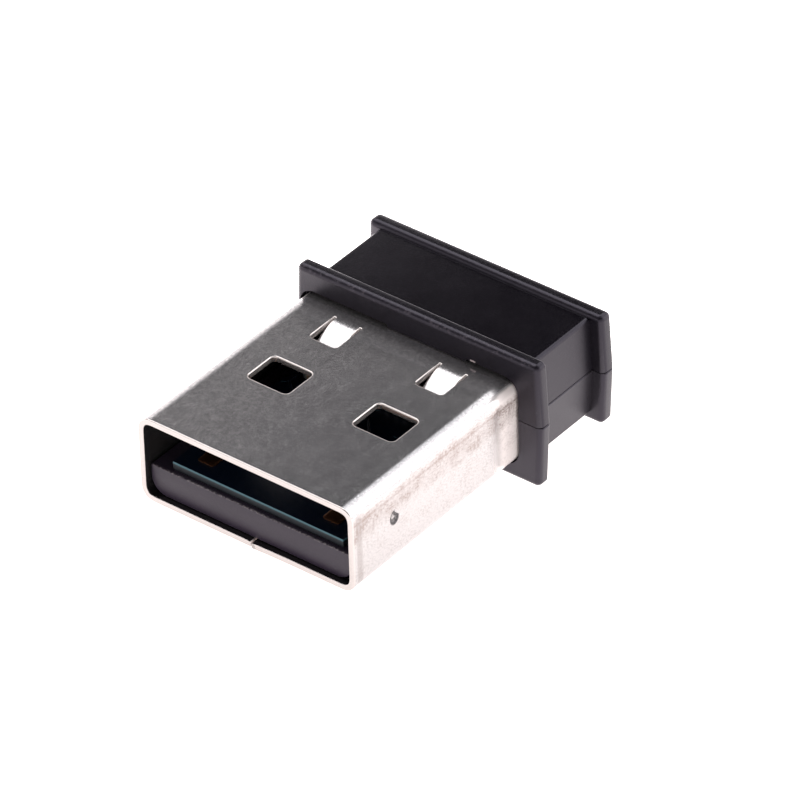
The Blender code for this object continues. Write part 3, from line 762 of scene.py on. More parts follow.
def carved(base, tools, material):
    """Cut or join tools to a mesh and return the result as a plain mesh."""
    holder = new_object("holder", base)
    helpers = []
    for operation, tool in tools:
        helper = new_object("tool", tool)
        helpers.append(helper)
        step = holder.modifiers.new("step", "BOOLEAN")
        step.operation = operation
        step.solver = "EXACT"
        step.object = helper
    bpy.context.view_layer.update()
    depsgraph = bpy.context.evaluated_depsgraph_get()
    mesh = bpy.data.meshes.new_from_object(holder.evaluated_get(depsgraph))
    for helper in helpers:
        bpy.data.objects.remove(helper)
    bpy.data.objects.remove(holder)
    mesh.materials.clear()
    mesh.materials.append(material)
    mesh.shade_smooth()
    mesh.set_sharp_from_angle(angle=math.radians(38.0))
    return mesh


def carrier_ring(y, inset):
    """One section of the carrier, smaller by inset."""
    left, right = carrier_low.x + inset, carrier_high.x - inset
    bottom, top = carrier_low.z + inset, carrier_high.z - inset
    large = carrier_corner - inset
    ring = quarter(left + large, bottom + large, large, 180.0, 12)
    ring += quarter(right - large, bottom + large, large, 270.0, 12)
    ring += quarter(right - carrier_edge, top - carrier_edge, carrier_edge, 0.0, 3)
    ring += quarter(left + carrier_edge, top - carrier_edge, carrier_edge, 90.0, 3)
    return [(x, y, z) for x, z in ring]


carrier_sections = []
for step in range(4):
    turn = math.radians(30.0 * step)
    carrier_sections.append(carrier_ring(carrier_low.y + carrier_edge * (1.0 - math.cos(turn)),
                                         carrier_edge * (1.0 - math.sin(turn))))
carrier_sections.append(carrier_ring(carrier_high.y, 0.0))
bed_half_width = board_half_width + bed_gap
carrier_bed = block((board_center_x - bed_half_width, board_low.y - bed_gap, board_low.z - bed_gap),
                    (board_center_x + bed_half_width, carrier_high.y + 0.0002, carrier_high.z + 0.0002))
carrier_plastic = Finish("glass_filled_black_plastic", Metallic=0.0, IOR=1.46)
carrier_grain = carrier_plastic.noise(9000.0, 4.0)
carrier_cloud = carrier_plastic.noise(900.0, 2.0)
# Painted highlight: a pale line along the carrier's front top edge, broken up by grain like flash.
front_edge_highlight = carrier_plastic.band(carrier_plastic.axis("Z"), carrier_high.z - 0.00006,
                                     carrier_high.z - 0.00002)
front_edge_highlight = front_edge_highlight * carrier_plastic.band(carrier_plastic.axis("Y"), carrier_low.y + 0.00012,
                                                     carrier_low.y + 0.00004)
front_edge_highlight = front_edge_highlight * carrier_plastic.band(carrier_grain, 0.40, 0.62)
carrier_color = carrier_plastic.mix(carrier_cloud, (0.019, 0.0130, 0.0245, 1.0), (0.026, 0.0175, 0.032, 1.0))
carrier_color = carrier_plastic.mix(front_edge_highlight, carrier_color, (0.16, 0.14, 0.15, 1.0))
carrier_plastic.feed(Base_Color=carrier_color, Roughness=0.34 + carrier_grain * 0.14,
                     Normal=carrier_plastic.bump(carrier_grain, 0.000006))
carrier_mesh = carved(to_mesh("carrier", lofted(carrier_sections)),
                      [("DIFFERENCE", to_mesh("bed", carrier_bed))], carrier_plastic.material)
add_piece("contact_carrier_moulding", carrier_mesh, "contact_carrier", "contact_carrier")

# ---- circuit board -------------------------------------------------------------------------------
# The real piece is a 0.6 mm glass-epoxy board with dark blue solder mask over copper traces. Its cut
# edge shows the resin, and two ears near its middle are soldered to the plug's walls.

ear_half_width = 0.00560
ear_y = (0.01030, 0.01130)
board_notch = 0.00050
trace_width = 0.00014
trace_height = 0.000036
via_radius = 0.00016
via_height = 0.00004


def at(x, y):
    """A place on the board, from the plug's centre line and mouth, in the part's frame."""
    return (plug_origin.x + x, plug_origin.y + y)


left_x = lane_x - board_half_width
right_x = lane_x + board_half_width
front_y = board_low.y - plug_origin.y
rear_y = board_high.y - plug_origin.y
board_outline = [at(*p) for p in (
    (left_x, front_y), (right_x, front_y), (right_x, ear_y[0]), (ear_half_width, ear_y[0]),
    (ear_half_width, ear_y[1]), (right_x, ear_y[1]), (right_x, rear_y - board_notch),
    (right_x - board_notch, rear_y), (left_x + board_notch, rear_y), (left_x, rear_y - board_notch),
    (left_x, ear_y[1]), (-ear_half_width, ear_y[1]), (-ear_half_width, ear_y[0]), (left_x, ear_y[0]))]
board_sections = [[(x, y, z) for x, y in board_outline]
                  for z in (board_low.z, board_low.z + 0.0002, board_high.z - 0.0002, board_high.z)]
trace_routes = [
    [(0.0011, 0.0073), (0.0004, 0.0081), (-0.0001, 0.0081)],
    [(-0.0008, 0.0073), (-0.0008, 0.0077)],
    [(-0.0001, 0.0085), (0.0004, 0.0090)],
    [(-0.0014, 0.0088), (-0.0014, 0.0090)],
    [(0.0036, 0.0073), (0.0036, 0.0075)],
    [(0.0036, 0.0085), (0.0036, 0.0087)],
    [(-0.0032, 0.0073), (-0.0042, 0.0083), (-0.0042, 0.0102)],
    [(-0.0020, 0.0100), (-0.0024, 0.0100), (-0.0028, 0.0098)],
    [(-0.0020, 0.0108), (-0.0028, 0.0106)],
    [(-0.0020, 0.0124), (-0.0025, 0.0124)],
    [(-0.0020, 0.0132), (-0.0025, 0.0134)],
    [(0.0030, 0.0124), (0.0032, 0.0124)],
    [(-0.0013, 0.0145), (-0.0009, 0.0145)],
    [(0.0001, 0.0145), (0.0005, 0.0145)],
    [(-0.0023, 0.0145), (-0.0038, 0.0148)],
    [(0.0015, 0.0145), (0.0021, 0.0145)],
    [(0.0031, 0.0145), (0.0035, 0.0145)],
    [(0.0044, 0.0116), (0.0044, 0.0119)],
]
via_places = [(x, 0.0082 + 0.0011 * row) for x in (-0.0044, 0.0047) for row in range(6)]
via_places += [(x, 0.0079) for x in (-0.0020, 0.0022, 0.0028)]
via_places += [(x, y) for x in (-0.0026, 0.0034) for y in (0.0022, 0.0044, 0.0060)]

board_mask = Finish("blue_solder_mask_board", Metallic=0.0, IOR=1.52)
board_up = board_mask.axis("Z")
mask_cloud = board_mask.noise(2200.0, 3.0)
weave = board_mask.noise(5200.0, 2.0, (1.0, 1.0, 5.0))
normal_up = board_mask.facing("Z")
on_edge = board_mask.band(normal_up * normal_up, 0.6, 0.2)
# Painted highlight: a teal line along the board's upper edge, where the edge catches the light.
edge_highlight = on_edge * board_mask.band(board_up, board_high.z - 0.00015, board_high.z - 0.00006)
mask_blue = board_mask.mix(mask_cloud, (0.0010, 0.0038, 0.0130, 1.0), (0.0020, 0.0065, 0.0200, 1.0))
resin = board_mask.mix(weave, (0.0010, 0.0035, 0.0075, 1.0), (0.0030, 0.0075, 0.0125, 1.0))
board_color = board_mask.mix(on_edge, mask_blue, resin)
board_color = board_mask.mix(edge_highlight * 0.9, board_color, (0.045, 0.125, 0.155, 1.0))
board_mask.feed(Base_Color=board_color, Roughness=0.26 + mask_cloud * 0.12 + on_edge * 0.25,
                Normal=board_mask.bump(mask_cloud * 0.6 + weave * 0.4, 0.000004))

routes_holder = new_routes("trace_routes", [[(*at(*place), board_high.z) for place in route]
                                            for route in trace_routes])
traces = Rule("trace_ridges", {"Width": ("NodeSocketFloat", trace_width),
                               "Thickness": ("NodeSocketFloat", trace_height)})
trace_profile = traces.node("GeometryNodeCurvePrimitiveQuadrilateral", {},
                            {"Width": traces.input("Width"), "Height": traces.input("Thickness")})
trace_solid = traces.node("GeometryNodeCurveToMesh", {},
                          {"Curve": traces.input("Geometry"), "Profile Curve": trace_profile,
                           "Fill Caps": True})
trace_mesh = traces.finish(trace_solid, board_mask.material, routes_holder)

via_points = bpy.data.meshes.new("via_places")
via_points.from_pydata([(*at(*place), board_high.z) for place in via_places], [], [])
via_holder = new_object("via_places", via_points)
vias = Rule("via_rings", {"Radius": ("NodeSocketFloat", via_radius),
                          "Height": ("NodeSocketFloat", via_height)})
via_shape = vias.node("GeometryNodeMeshCylinder", {}, {"Vertices": 14, "Radius": vias.input("Radius"),
                                                       "Depth": vias.input("Height")})
via_rings = vias.node("GeometryNodeInstanceOnPoints", {},
                      {"Points": vias.input("Geometry"), "Instance": via_shape})
via_mesh = vias.finish(via_rings, board_mask.material, via_holder)


def merged(name, meshes):
    """One mesh from several, each keeping its own materials."""
    bm = bmesh.new()
    materials = []
    for mesh in meshes:
        start = len(bm.faces)
        bm.from_mesh(mesh)
        bm.faces.ensure_lookup_table()
        places = []
        for material in mesh.materials:
            if material not in materials:
                materials.append(material)
            places.append(materials.index(material))
        for face in bm.faces[start:]:
            face.material_index = places[face.material_index]
    made = bpy.data.meshes.new(name)
    bm.to_mesh(made)
    bm.free()
    for material in materials:
        made.materials.append(material)
    return made


board_slab = to_mesh("board_slab", lofted(board_sections), board_mask.material)
add_piece("circuit_board_with_traces", merged("board", [board_slab, trace_mesh, via_mesh]), "circuit_board",
          "circuit_board")

# ---- contacts ------------------------------------------------------------------------------------
# The real pieces are four gold-plated copper fingers on the board, with eased corners and a wiping
# track worn down their middle. The outer two reach further forward, so that they meet first.

gold = Finish("gold_plating", Metallic=1.0)
gold_wear = gold.noise(6000.0, 3.0, (1.0, 0.12, 1.0))
gold_cloud = gold.noise(1500.0, 2.0)
# Painted shade: the gold is coloured dark brown, far darker than gold, for the shade deep in the plug's
# mouth.
gold_in_shade_color = gold.mix(gold_cloud, (0.30, 0.130, 0.065, 1.0), (0.38, 0.18, 0.09, 1.0))
gold_in_shade_color = gold.mix(gold.band(gold_wear, 0.5, 0.75) * 0.5, gold_in_shade_color, (0.25, 0.13, 0.08, 1.0))
gold.feed(Base_Color=gold_in_shade_color, Roughness=0.24 + gold_wear * 0.16, Normal=gold.bump(gold_wear, 0.000003))
contact_corner = 0.00015
contact_crown = 0.000012


def contact_finger(low, high):
    """Flat finger with rounded front corners and a crowned top."""
    outline = quarter(low.x + contact_corner, low.y + contact_corner, contact_corner, 180.0, 6)
    outline += quarter(high.x - contact_corner, low.y + contact_corner, contact_corner, 270.0, 6)
    outline += [(high.x, high.y), (low.x, high.y)]
    center = Vector((0.5 * (low.x + high.x), 0.5 * (low.y + high.y)))
    rings = []
    for inset, z in ((0.0, low.z), (0.0, high.z - contact_crown - 0.00001), (0.00001, high.z - contact_crown),
                     (0.00012, high.z)):
        ring = []
        for x, y in outline:
            away = Vector((x, y)) - center
            ring.append((x - math.copysign(min(inset, abs(away.x)), away.x),
                         y - math.copysign(min(inset, abs(away.y)), away.y), z))
        rings.append(ring)
    return to_mesh("finger", lofted(rings), gold.material)


for contact in ("contact_vbus", "contact_d_minus", "contact_d_plus", "contact_ground"):
    add_piece(contact + "_finger", contact_finger(*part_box(contact)), "contact_gold", contact)

# ---- chips ---------------------------------------------------------------------------------------
# The real pieces are a leadless wifi chip, a five-lead voltage regulator and a small surge protector.
# Each is black epoxy pressed round a tinned lead frame, with drafted sides and a dot by pin 1.

chip_low, chip_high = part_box("wifi_chip")
chip_gap = 0.00003
chip_draft = 0.00002
pad_pitch = 0.00050
pad_size = (0.00024, 0.00042, 0.00020)

epoxy = Finish("moulded_epoxy", Metallic=0.0, IOR=1.55)
epoxy_grain = epoxy.noise(16000.0, 3.0)
epoxy_cloud = epoxy.noise(1200.0, 2.0)
epoxy_color = epoxy.mix(epoxy_cloud, (0.012, 0.012, 0.013, 1.0), (0.021, 0.020, 0.021, 1.0))
epoxy.feed(Base_Color=epoxy_color, Roughness=0.48 + epoxy_grain * 0.2,
           Normal=epoxy.bump(epoxy_grain, 0.000008))


def grained(name, grain, dark, light, roughness, relief, **uniform):
    """Finish whose colour, roughness (lowest, range) and relief all follow one fine grain."""
    made = Finish(name, **uniform)
    fine = made.noise(*grain)
    made.feed(Base_Color=made.mix(fine, (*dark, 1.0), (*light, 1.0)),
              Roughness=roughness[0] + fine * roughness[1], Normal=made.bump(fine, relief))
    return made


tin = grained("tin_plating", (15000.0, 3.0), (0.48, 0.47, 0.45), (0.66, 0.65, 0.62), (0.28, 0.22), 0.000005,
              Metallic=1.0)


def drafted(low, high, draft, round_corner=0.00005):
    """Block whose sides lean in towards its top, with rounded upright edges and an eased top edge."""
    rings = []
    for inset, z in ((0.0, low.z), (draft * 0.7, high.z - 0.00006), (draft + 0.00002, high.z - 0.000015),
                     (draft + 0.00006, high.z)):
        left, right = low.x + inset, high.x - inset
        front, rear = low.y + inset, high.y - inset
        ring = []
        for x, y, start in ((left + round_corner, front + round_corner, 180.0),
                            (right - round_corner, front + round_corner, 270.0),
                            (right - round_corner, rear - round_corner, 0.0),
                            (left + round_corner, rear - round_corner, 90.0)):
            ring += [(u, v, z) for u, v in quarter(x, y, round_corner, start, 4)]
        rings.append(ring)
    return to_mesh("drafted", lofted(rings), epoxy.material)


def marker_dot(x, y, top, radius, depth):
    """Round tool that presses a pin-1 dot of the given depth into a chip's top."""
    bm = bmesh.new()
    bmesh.ops.create_cone(bm, cap_ends=True, segments=24, radius1=radius * 0.8, radius2=radius * 1.6,
                          depth=4.0 * depth)
    bmesh.ops.translate(bm, vec=Vector((x, y, top + depth)), verts=bm.verts)
    return to_mesh("dot", bm)


def row_of(name, shape, start, step, count, material):
    """Copies of a shape along a line, laid by Geometry Nodes."""
    holder = new_object(name, shape)
    row = Rule(name, {"Count": ("NodeSocketInt", count), "Start": ("NodeSocketVector", start),
                      "Step": ("NodeSocketVector", step)})
    line = row.node("GeometryNodeMeshLine", {"mode": "OFFSET"},
                    {"Count": row.input("Count"), "Start Location": row.input("Start"),
                     "Offset": row.input("Step")})
    copies = row.node("GeometryNodeInstanceOnPoints", {}, {"Points": line, "Instance": row.input("Geometry")})
    return row.finish(copies, material, holder)


def pad_shape(size):
    """Flat tin pad with eased edges, standing on the origin's level."""
    half = Vector((0.5 * size[0], 0.5 * size[1], 0.0))
    shape = block(-half, half + Vector((0.0, 0.0, size[2])))
    bmesh.ops.bevel(shape, geom=shape.edges, offset=0.00002, segments=1, affect="EDGES")
    return to_mesh("pad", shape, tin.material)


chip_body_low = Vector((chip_low.x + chip_gap, chip_low.y + chip_gap, chip_low.z + chip_gap))
chip_body = drafted(chip_body_low, chip_high - Vector((chip_gap, chip_gap, 0.0)), chip_draft)
chip_dot = marker_dot(chip_low.x + 0.0007, chip_high.y - 0.0007, chip_high.z, 0.00025, 0.00004)
chip_parts = [carved(chip_body, [("DIFFERENCE", chip_dot)], epoxy.material)]
pads_per_side = 8
first_pad = -0.5 * (pads_per_side - 1) * pad_pitch
chip_middle = 0.5 * (chip_low + chip_high)
for side in (-1.0, 1.0):
    edge_x = chip_middle.x + side * (0.5 * (chip_high.x - chip_low.x) - 0.5 * pad_size[1])
    edge_y = chip_middle.y + side * (0.5 * (chip_high.y - chip_low.y) - 0.5 * pad_size[1])
    chip_parts.append(row_of("chip_pads_side", pad_shape((pad_size[1], pad_size[0], pad_size[2])),
                             (edge_x, chip_middle.y + first_pad, chip_low.z), (0.0, pad_pitch, 0.0),
                             pads_per_side, tin.material))
    chip_parts.append(row_of("chip_pads_end", pad_shape(pad_size),
                             (chip_middle.x + first_pad, edge_y, chip_low.z), (pad_pitch, 0.0, 0.0),
                             pads_per_side, tin.material))
add_piece("wifi_chip_package", merged("chip", chip_parts), "chip_epoxy", "wifi_chip")

lead_thickness = 0.00012
lead_foot = 0.00032


def gull_lead(width, run, rise):
    """Lead that leaves the body level at height rise, turns down and ends in a flat foot, towards +X."""
    half = 0.5 * lead_thickness
    path = [(-0.0001, rise), (run * 0.25, rise), (run - lead_foot, half), (run, half)]
    upper = []
    lower = []
    for index, (x, z) in enumerate(path):
        before = Vector(path[max(index - 1, 0)])
        after = Vector(path[min(index + 1, len(path) - 1)])
        way = (after - before).normalized()
        upper.append((x - way.y * half, z + way.x * half))
        lower.append((x + way.y * half, z - way.x * half))
    lower[-1] = (run, 0.0)
    lower[-2] = (lower[-2][0], 0.0)
    ring = upper + lower[::-1]
    bm = lofted([[(x, -0.5 * width, z) for x, z in ring], [(x, 0.5 * width, z) for x, z in ring]])
    return to_mesh("lead", bm, tin.material, 60.0)


def leaded_chip(node, body_inset, lead_rows, pitch, lead_width):
    """Small moulded chip with gull-wing leads on two sides; lead_rows gives side and lead places."""
    low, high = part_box(node)
    run = body_inset + 0.00002
    body = drafted(Vector((low.x + body_inset, low.y, low.z + 0.00008)),
                   Vector((high.x - body_inset, high.y, high.z)), 0.00007)
    dot = marker_dot(low.x + body_inset + 0.00024, low.y + 0.00026, high.z, 0.00009, 0.00003)
    meshes = [carved(body, [("DIFFERENCE", dot)], epoxy.material)]
    middle = 0.5 * (low + high)
    for side, first, count, step in lead_rows:
        shape = gull_lead(lead_width, run, 0.42 * (high.z - low.z))
        if side < 0:
            for vert in shape.vertices:
                vert.co.x = -vert.co.x
            shape.flip_normals()
        start = (middle.x + side * (0.5 * (high.x - low.x) - run), middle.y + first * pitch, low.z)
        meshes.append(row_of(node + "_leads", shape, start, (0.0, step * pitch, 0.0), count, tin.material))
    add_piece(node + "_package", merged(node, meshes), "chip_epoxy", node)


leaded_chip("voltage_regulator", 0.00036, [(-1, -1.0, 3, 1.0), (1, -1.0, 2, 2.0)], 0.00095, 0.00036)
leaded_chip("esd_protection", 0.00030, [(-1, -0.5, 2, 1.0), (1, 0.0, 1, 1.0)], 0.00050, 0.00022)

# ---- crystal and coils ---------------------------------------------------------------------------
# The real crystal sits in a ceramic tub under a seam-welded nickel lid. The power coil is wound on a
# drum of grey ferrite between two plated ends. The bead and antenna coil are small fired blocks.

lid_nickel = grained("welded_nickel_lid", (9000.0, 3.0, (1.0, 0.15, 1.0)), (0.56, 0.54, 0.50),
                     (0.70, 0.68, 0.64), (0.22, 0.18), 0.000003, Metallic=1.0)
tub_ceramic = grained("grey_ceramic_tub", (12000.0, 4.0), (0.16, 0.155, 0.145), (0.24, 0.23, 0.215),
                      (0.55, 0.25), 0.000006, Metallic=0.0)
lid_height = 0.00014


def round_uprights(shape, radius, segments):
    """Round the upright edges of a block."""
    uprights = [edge for edge in shape.edges if abs(edge.verts[0].co.z - edge.verts[1].co.z) > 0.00005]
    bmesh.ops.bevel(shape, geom=uprights, offset=radius, segments=segments, affect="EDGES")


crystal_low, crystal_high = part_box("crystal")
crystal_tub = block(crystal_low, crystal_high - Vector((0.0, 0.0, lid_height)))
round_uprights(crystal_tub, 0.00012, 3)
lid_inset = Vector((0.00014, 0.00014, 0.0))
crystal_lid = block(crystal_low + lid_inset + Vector((0.0, 0.0, crystal_high.z - crystal_low.z - lid_height)),
                    crystal_high - lid_inset)
bmesh.ops.bevel(crystal_lid, geom=crystal_lid.edges, offset=0.00005, segments=2, affect="EDGES")
add_piece("crystal_can", merged("crystal", [to_mesh("tub", crystal_tub, tub_ceramic.material),
                                            to_mesh("lid", crystal_lid, lid_nickel.material)]),
          "crystal_lid", "crystal")

ferrite = Finish("fired_ferrite", Metallic=0.0)
ferrite_grain = ferrite.noise(14000.0, 4.0)
ferrite_cloud = ferrite.noise(2500.0, 2.0)
ferrite_color = ferrite.mix(ferrite_cloud, (0.055, 0.052, 0.050, 1.0), (0.095, 0.090, 0.086, 1.0))
ferrite.feed(Base_Color=ferrite_color, Roughness=0.5 + ferrite_grain * 0.25,
             Normal=ferrite.bump(ferrite_grain, 0.000008))
enamel = grained("enamelled_copper", (9000.0, 3.0), (0.38, 0.13, 0.055), (0.55, 0.22, 0.09), (0.25, 0.15),
                 0.000003, Metallic=0.85, Coat_Weight=0.6)
coil_low, coil_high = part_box("power_inductor")
coil_middle = 0.5 * (coil_low + coil_high)
coil_flange = 0.00018
coil_core_radius = 0.00042
coil_wire = 0.00006
coil_turns = 5
coil_radius = coil_core_radius + coil_wire * 1.05
coil_room = coil_high.z - coil_low.z - 2.0 * coil_flange
coil_parts = []
for low_z, high_z in ((coil_low.z + 0.00003, coil_low.z + coil_flange),
                      (coil_high.z - coil_flange, coil_high.z)):
    plate = block(Vector((coil_low.x, coil_low.y, low_z)), Vector((coil_high.x, coil_high.y, high_z)))
    round_uprights(plate, 0.00035, 4)
    coil_parts.append(to_mesh("plate", plate, ferrite.material))
drum = bmesh.new()
bmesh.ops.create_cone(drum, cap_ends=True, segments=32, radius1=coil_core_radius, radius2=coil_core_radius,
                      depth=coil_room + 0.00004)
bmesh.ops.translate(drum, vec=coil_middle, verts=drum.verts)
coil_parts.append(to_mesh("drum", drum, ferrite.material))
for side in (-1.0, 1.0):
    end_y = coil_middle.y + side * (0.5 * (coil_high.y - coil_low.y) - 0.00025)
    end_low = Vector((coil_middle.x - 0.0005, end_y - 0.00022, coil_low.z))
    end_high = Vector((coil_middle.x + 0.0005, end_y + 0.00022, coil_low.z + 0.00004))
    coil_parts.append(to_mesh("end", block(end_low, end_high), tin.material))
coil_holder = new_object("winding", bpy.data.meshes.new("winding"))
winding = Rule("power_coil_winding", {"Turns": ("NodeSocketFloat", float(coil_turns)),
                                      "Wire Radius": ("NodeSocketFloat", coil_wire),
                                      "Coil Radius": ("NodeSocketFloat", coil_radius)})
coil_path = winding.node("GeometryNodeCurveSpiral", {},
                         {"Resolution": 40, "Rotations": winding.input("Turns"),
                          "Start Radius": winding.input("Coil Radius"),
                          "End Radius": winding.input("Coil Radius"),
                          "Height": coil_room - 2.4 * coil_wire})
coil_profile = winding.node("GeometryNodeCurvePrimitiveCircle", {"mode": "RADIUS"},
                            {"Resolution": 8, "Radius": winding.input("Wire Radius")})
coil_tube = winding.node("GeometryNodeCurveToMesh", {},
                         {"Curve": coil_path, "Profile Curve": coil_profile, "Fill Caps": True})
coil_place = winding.node("GeometryNodeTransform", {},
                          {"Geometry": coil_tube,
                           "Translation": (coil_middle.x, coil_middle.y,
                                           coil_low.z + coil_flange + 1.2 * coil_wire)})
coil_parts.append(winding.finish(coil_place, enamel.material, coil_holder))
add_piece("power_inductor_coil", merged("coil", coil_parts), "inductor_ferrite", "power_inductor")

# ---- chip capacitors, resistors and beads --------------------------------------------------------
# The real pieces are 1.0 x 0.5 mm fired ceramic blocks with dipped and tinned ends. Resistors are
# flatter, with a black glaze on their outer face. All are placed on paste and reflowed.

end_length = 0.00024
end_lift = 0.000012
end_skin = 0.00006

ceramic = grained("capacitor_ceramic", (13000.0, 4.0), (0.20, 0.125, 0.070), (0.31, 0.21, 0.13),
                  (0.42, 0.2), 0.000005, Metallic=0.0)
glaze = Finish("resistor_glaze", Metallic=0.0, Coat_Weight=0.5)
glaze_grain = glaze.noise(8000.0, 3.0)
glaze_face = glaze.band(glaze.facing("Z"), -0.4, -0.8)
alumina = glaze.mix(glaze_grain, (0.56, 0.55, 0.53, 1.0), (0.68, 0.67, 0.64, 1.0))
glaze.feed(Base_Color=glaze.mix(glaze_face, alumina, (0.010, 0.010, 0.012, 1.0)),
           Roughness=0.32 + glaze_grain * 0.2, Normal=glaze.bump(glaze_grain, 0.000004))


def eased_block(low, high, ease, segments, material):
    """Block with every edge rounded."""
    shape = block(low, high)
    bmesh.ops.bevel(shape, geom=shape.edges, offset=ease, segments=segments, affect="EDGES", profile=0.5)
    return to_mesh("eased", shape, material, 60.0)


def end_capped(node, body_material, slot_name):
    """Fired block with two tinned ends, along the longer side of its CAD box."""
    low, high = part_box(node)
    long_axis = 0 if high.x - low.x > high.y - low.y else 1
    body_low = low + Vector((end_lift, end_lift, end_lift))
    body_high = high - Vector((end_lift, end_lift, end_lift))
    body_low[long_axis] = low[long_axis] + end_skin
    body_high[long_axis] = high[long_axis] - end_skin
    meshes = [eased_block(body_low, body_high, 0.00004, 2, body_material)]
    for side in (0, 1):
        cap_low = low.copy()
        cap_high = high.copy()
        if side:
            cap_low[long_axis] = high[long_axis] - end_length
        else:
            cap_high[long_axis] = low[long_axis] + end_length
        meshes.append(eased_block(cap_low, cap_high, 0.00005, 3, tin.material))
    add_piece(node + "_block", merged(node, meshes), slot_name, node)


capacitors = [f"capacitor_{number}" for number in range(1, 9)]
for node in capacitors + ["rf_capacitor_series", "rf_capacitor_shunt"]:
    end_capped(node, ceramic.material, "capacitor_ceramic")
for number in range(1, 4):
    end_capped(f"resistor_{number}", glaze.material, "resistor_glaze")
for node in ("rf_inductor", "vbus_ferrite_bead"):
    end_capped(node, ferrite.material, "inductor_ferrite")

# ---- printed antenna -----------------------------------------------------------------------------
# The real piece is a folded copper line etched on the board's rear end and covered by the blue mask,
# so that it stands proud by its own thickness. Its width is constant and its corners are mitred.

antenna_low, antenna_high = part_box("printed_antenna")
antenna_x = (-0.0042, 0.0046)
antenna_y = (0.0150, 0.0158)
antenna_folds = 9
antenna_line = 0.00022
antenna_corner = 0.00016

copper = grained("etched_copper", (9000.0, 3.0), (0.42, 0.20, 0.10), (0.60, 0.33, 0.18), (0.3, 0.2),
                 0.000003, Metallic=0.9, Coat_Weight=0.7)
antenna_route = [at(antenna_x[0], antenna_y[0])]
for fold in range(antenna_folds + 1):
    fold_x = antenna_x[0] + (antenna_x[1] - antenna_x[0]) * fold / antenna_folds
    near, far = antenna_y if fold % 2 == 0 else antenna_y[::-1]
    if fold > 0:
        antenna_route.append(at(fold_x, near))
    antenna_route.append(at(fold_x, far))
antenna_middle_z = 0.5 * (antenna_low.z + antenna_high.z)
antenna_holder = new_routes("antenna_route", [[(x, y, antenna_middle_z) for x, y in antenna_route]])
etched = Rule("etched_line", {"Corner": ("NodeSocketFloat", antenna_corner),
                              "Width": ("NodeSocketFloat", antenna_line),
                              "Thickness": ("NodeSocketFloat", antenna_high.z - antenna_low.z)})
etched_path = etched.node("GeometryNodeFilletCurve", {"mode": "POLY"},
                          {"Curve": etched.input("Geometry"), "Radius": etched.input("Corner"), "Count": 5})
etched_profile = etched.node("GeometryNodeCurvePrimitiveQuadrilateral", {},
                             {"Width": etched.input("Width"), "Height": etched.input("Thickness")})
etched_line = etched.node("GeometryNodeCurveToMesh", {},
                          {"Curve": etched_path, "Profile Curve": etched_profile, "Fill Caps": True})
antenna_mesh = etched.finish(etched_line, copper.material, antenna_holder)
add_piece("printed_antenna_line", antenna_mesh, "antenna_copper", "printed_antenna")

# ---- solder between board and shell --------------------------------------------------------------
# The real joints are hand-laid tin fillets in the corner between each board ear and the plug's wall.
# Each is hollow in section, thickest at its middle, and thins out to both ends.

solder_steps = 14

solder = Finish("solder_fillet", Metallic=1.0)
solder_flow = solder.noise(3500.0, 3.0)
solder_grain = solder.noise(15000.0, 2.0)
solder.feed(Base_Color=solder.mix(solder_flow, (0.50, 0.50, 0.52, 1.0), (0.70, 0.69, 0.69, 1.0)),
            Roughness=0.18 + solder_flow * 0.25,
            Normal=solder.bump(solder_flow * 0.7 + solder_grain * 0.3, 0.000008))
for label, side in (("left", -1.0), ("right", 1.0)):
    low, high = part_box("shell_solder_" + label)
    wall_x = low.x if side < 0 else high.x
    solder_rings = []
    for step in range(solder_steps + 1):
        share = step / solder_steps
        swell = 0.25 + 0.75 * math.sin(math.pi * share) ** 0.5
        reach_x = (high.x - low.x) * swell
        reach_z = (high.z - low.z) * swell
        ring = [(wall_x, low.y + (high.y - low.y) * share, low.z)]
        for arc_step in range(9):
            turn = math.radians(90.0 * arc_step / 8)
            ring.append((wall_x - side * reach_x * (1.0 - math.sin(turn)), ring[0][1],
                         low.z + reach_z * (1.0 - math.cos(turn))))
        solder_rings.append(ring)
    add_piece(f"shell_solder_{label}_fillet", to_mesh("fillet", lofted(solder_rings), solder.material),
              "solder", "shell_solder_" + label)

# ---- housing -------------------------------------------------------------------------------------
# The real housing is two moulded halves of matt black plastic that meet at a parting line round its
# middle. Each is a hollow spool half with rounded flanges, drafted sides, a pocket for the plug and
# ribs for the board. Two pegs in the rear flange line the halves up, and the seam is glued.

parting = 0.00332
parting_gap = 0.00004
parting_notch = 0.00004
draft = 0.051
front_flange_y = (0.01152, 0.01217)
rear_flange_y = (0.01642, 0.01724)
front_half_width = 0.00692
middle_half_width = 0.00604
rear_half_width = 0.00670
flange_round = 0.00028
front_flange_rear_round = 0.00010
middle_round = 0.00018
wall = 0.00060
floor_thickness = 0.00050
pocket_depth = 0.00045
pocket_x = (-0.00610, 0.00614)
pocket_half_height = 0.00245
pocket_floor = 0.00231
pocket_round = 0.00083
pocket_lip_z = 0.00230
overlap = 0.00020
peg_x = 0.00600
peg_radius = 0.00022
peg_hole_radius = 0.00026
peg_reach = 0.00060
rib_x = (-0.00395, 0.00445)
rib_width = 0.00030
rib_gap = 0.00003
upper_rib_y = (0.01592, 0.01658)
lower_rib_y = (0.01250, 0.01600)
flash_x = (0.00352, 0.00382)
flash_y = (-0.00003, 0.00004)
flash_z = (0.00246, 0.00254)

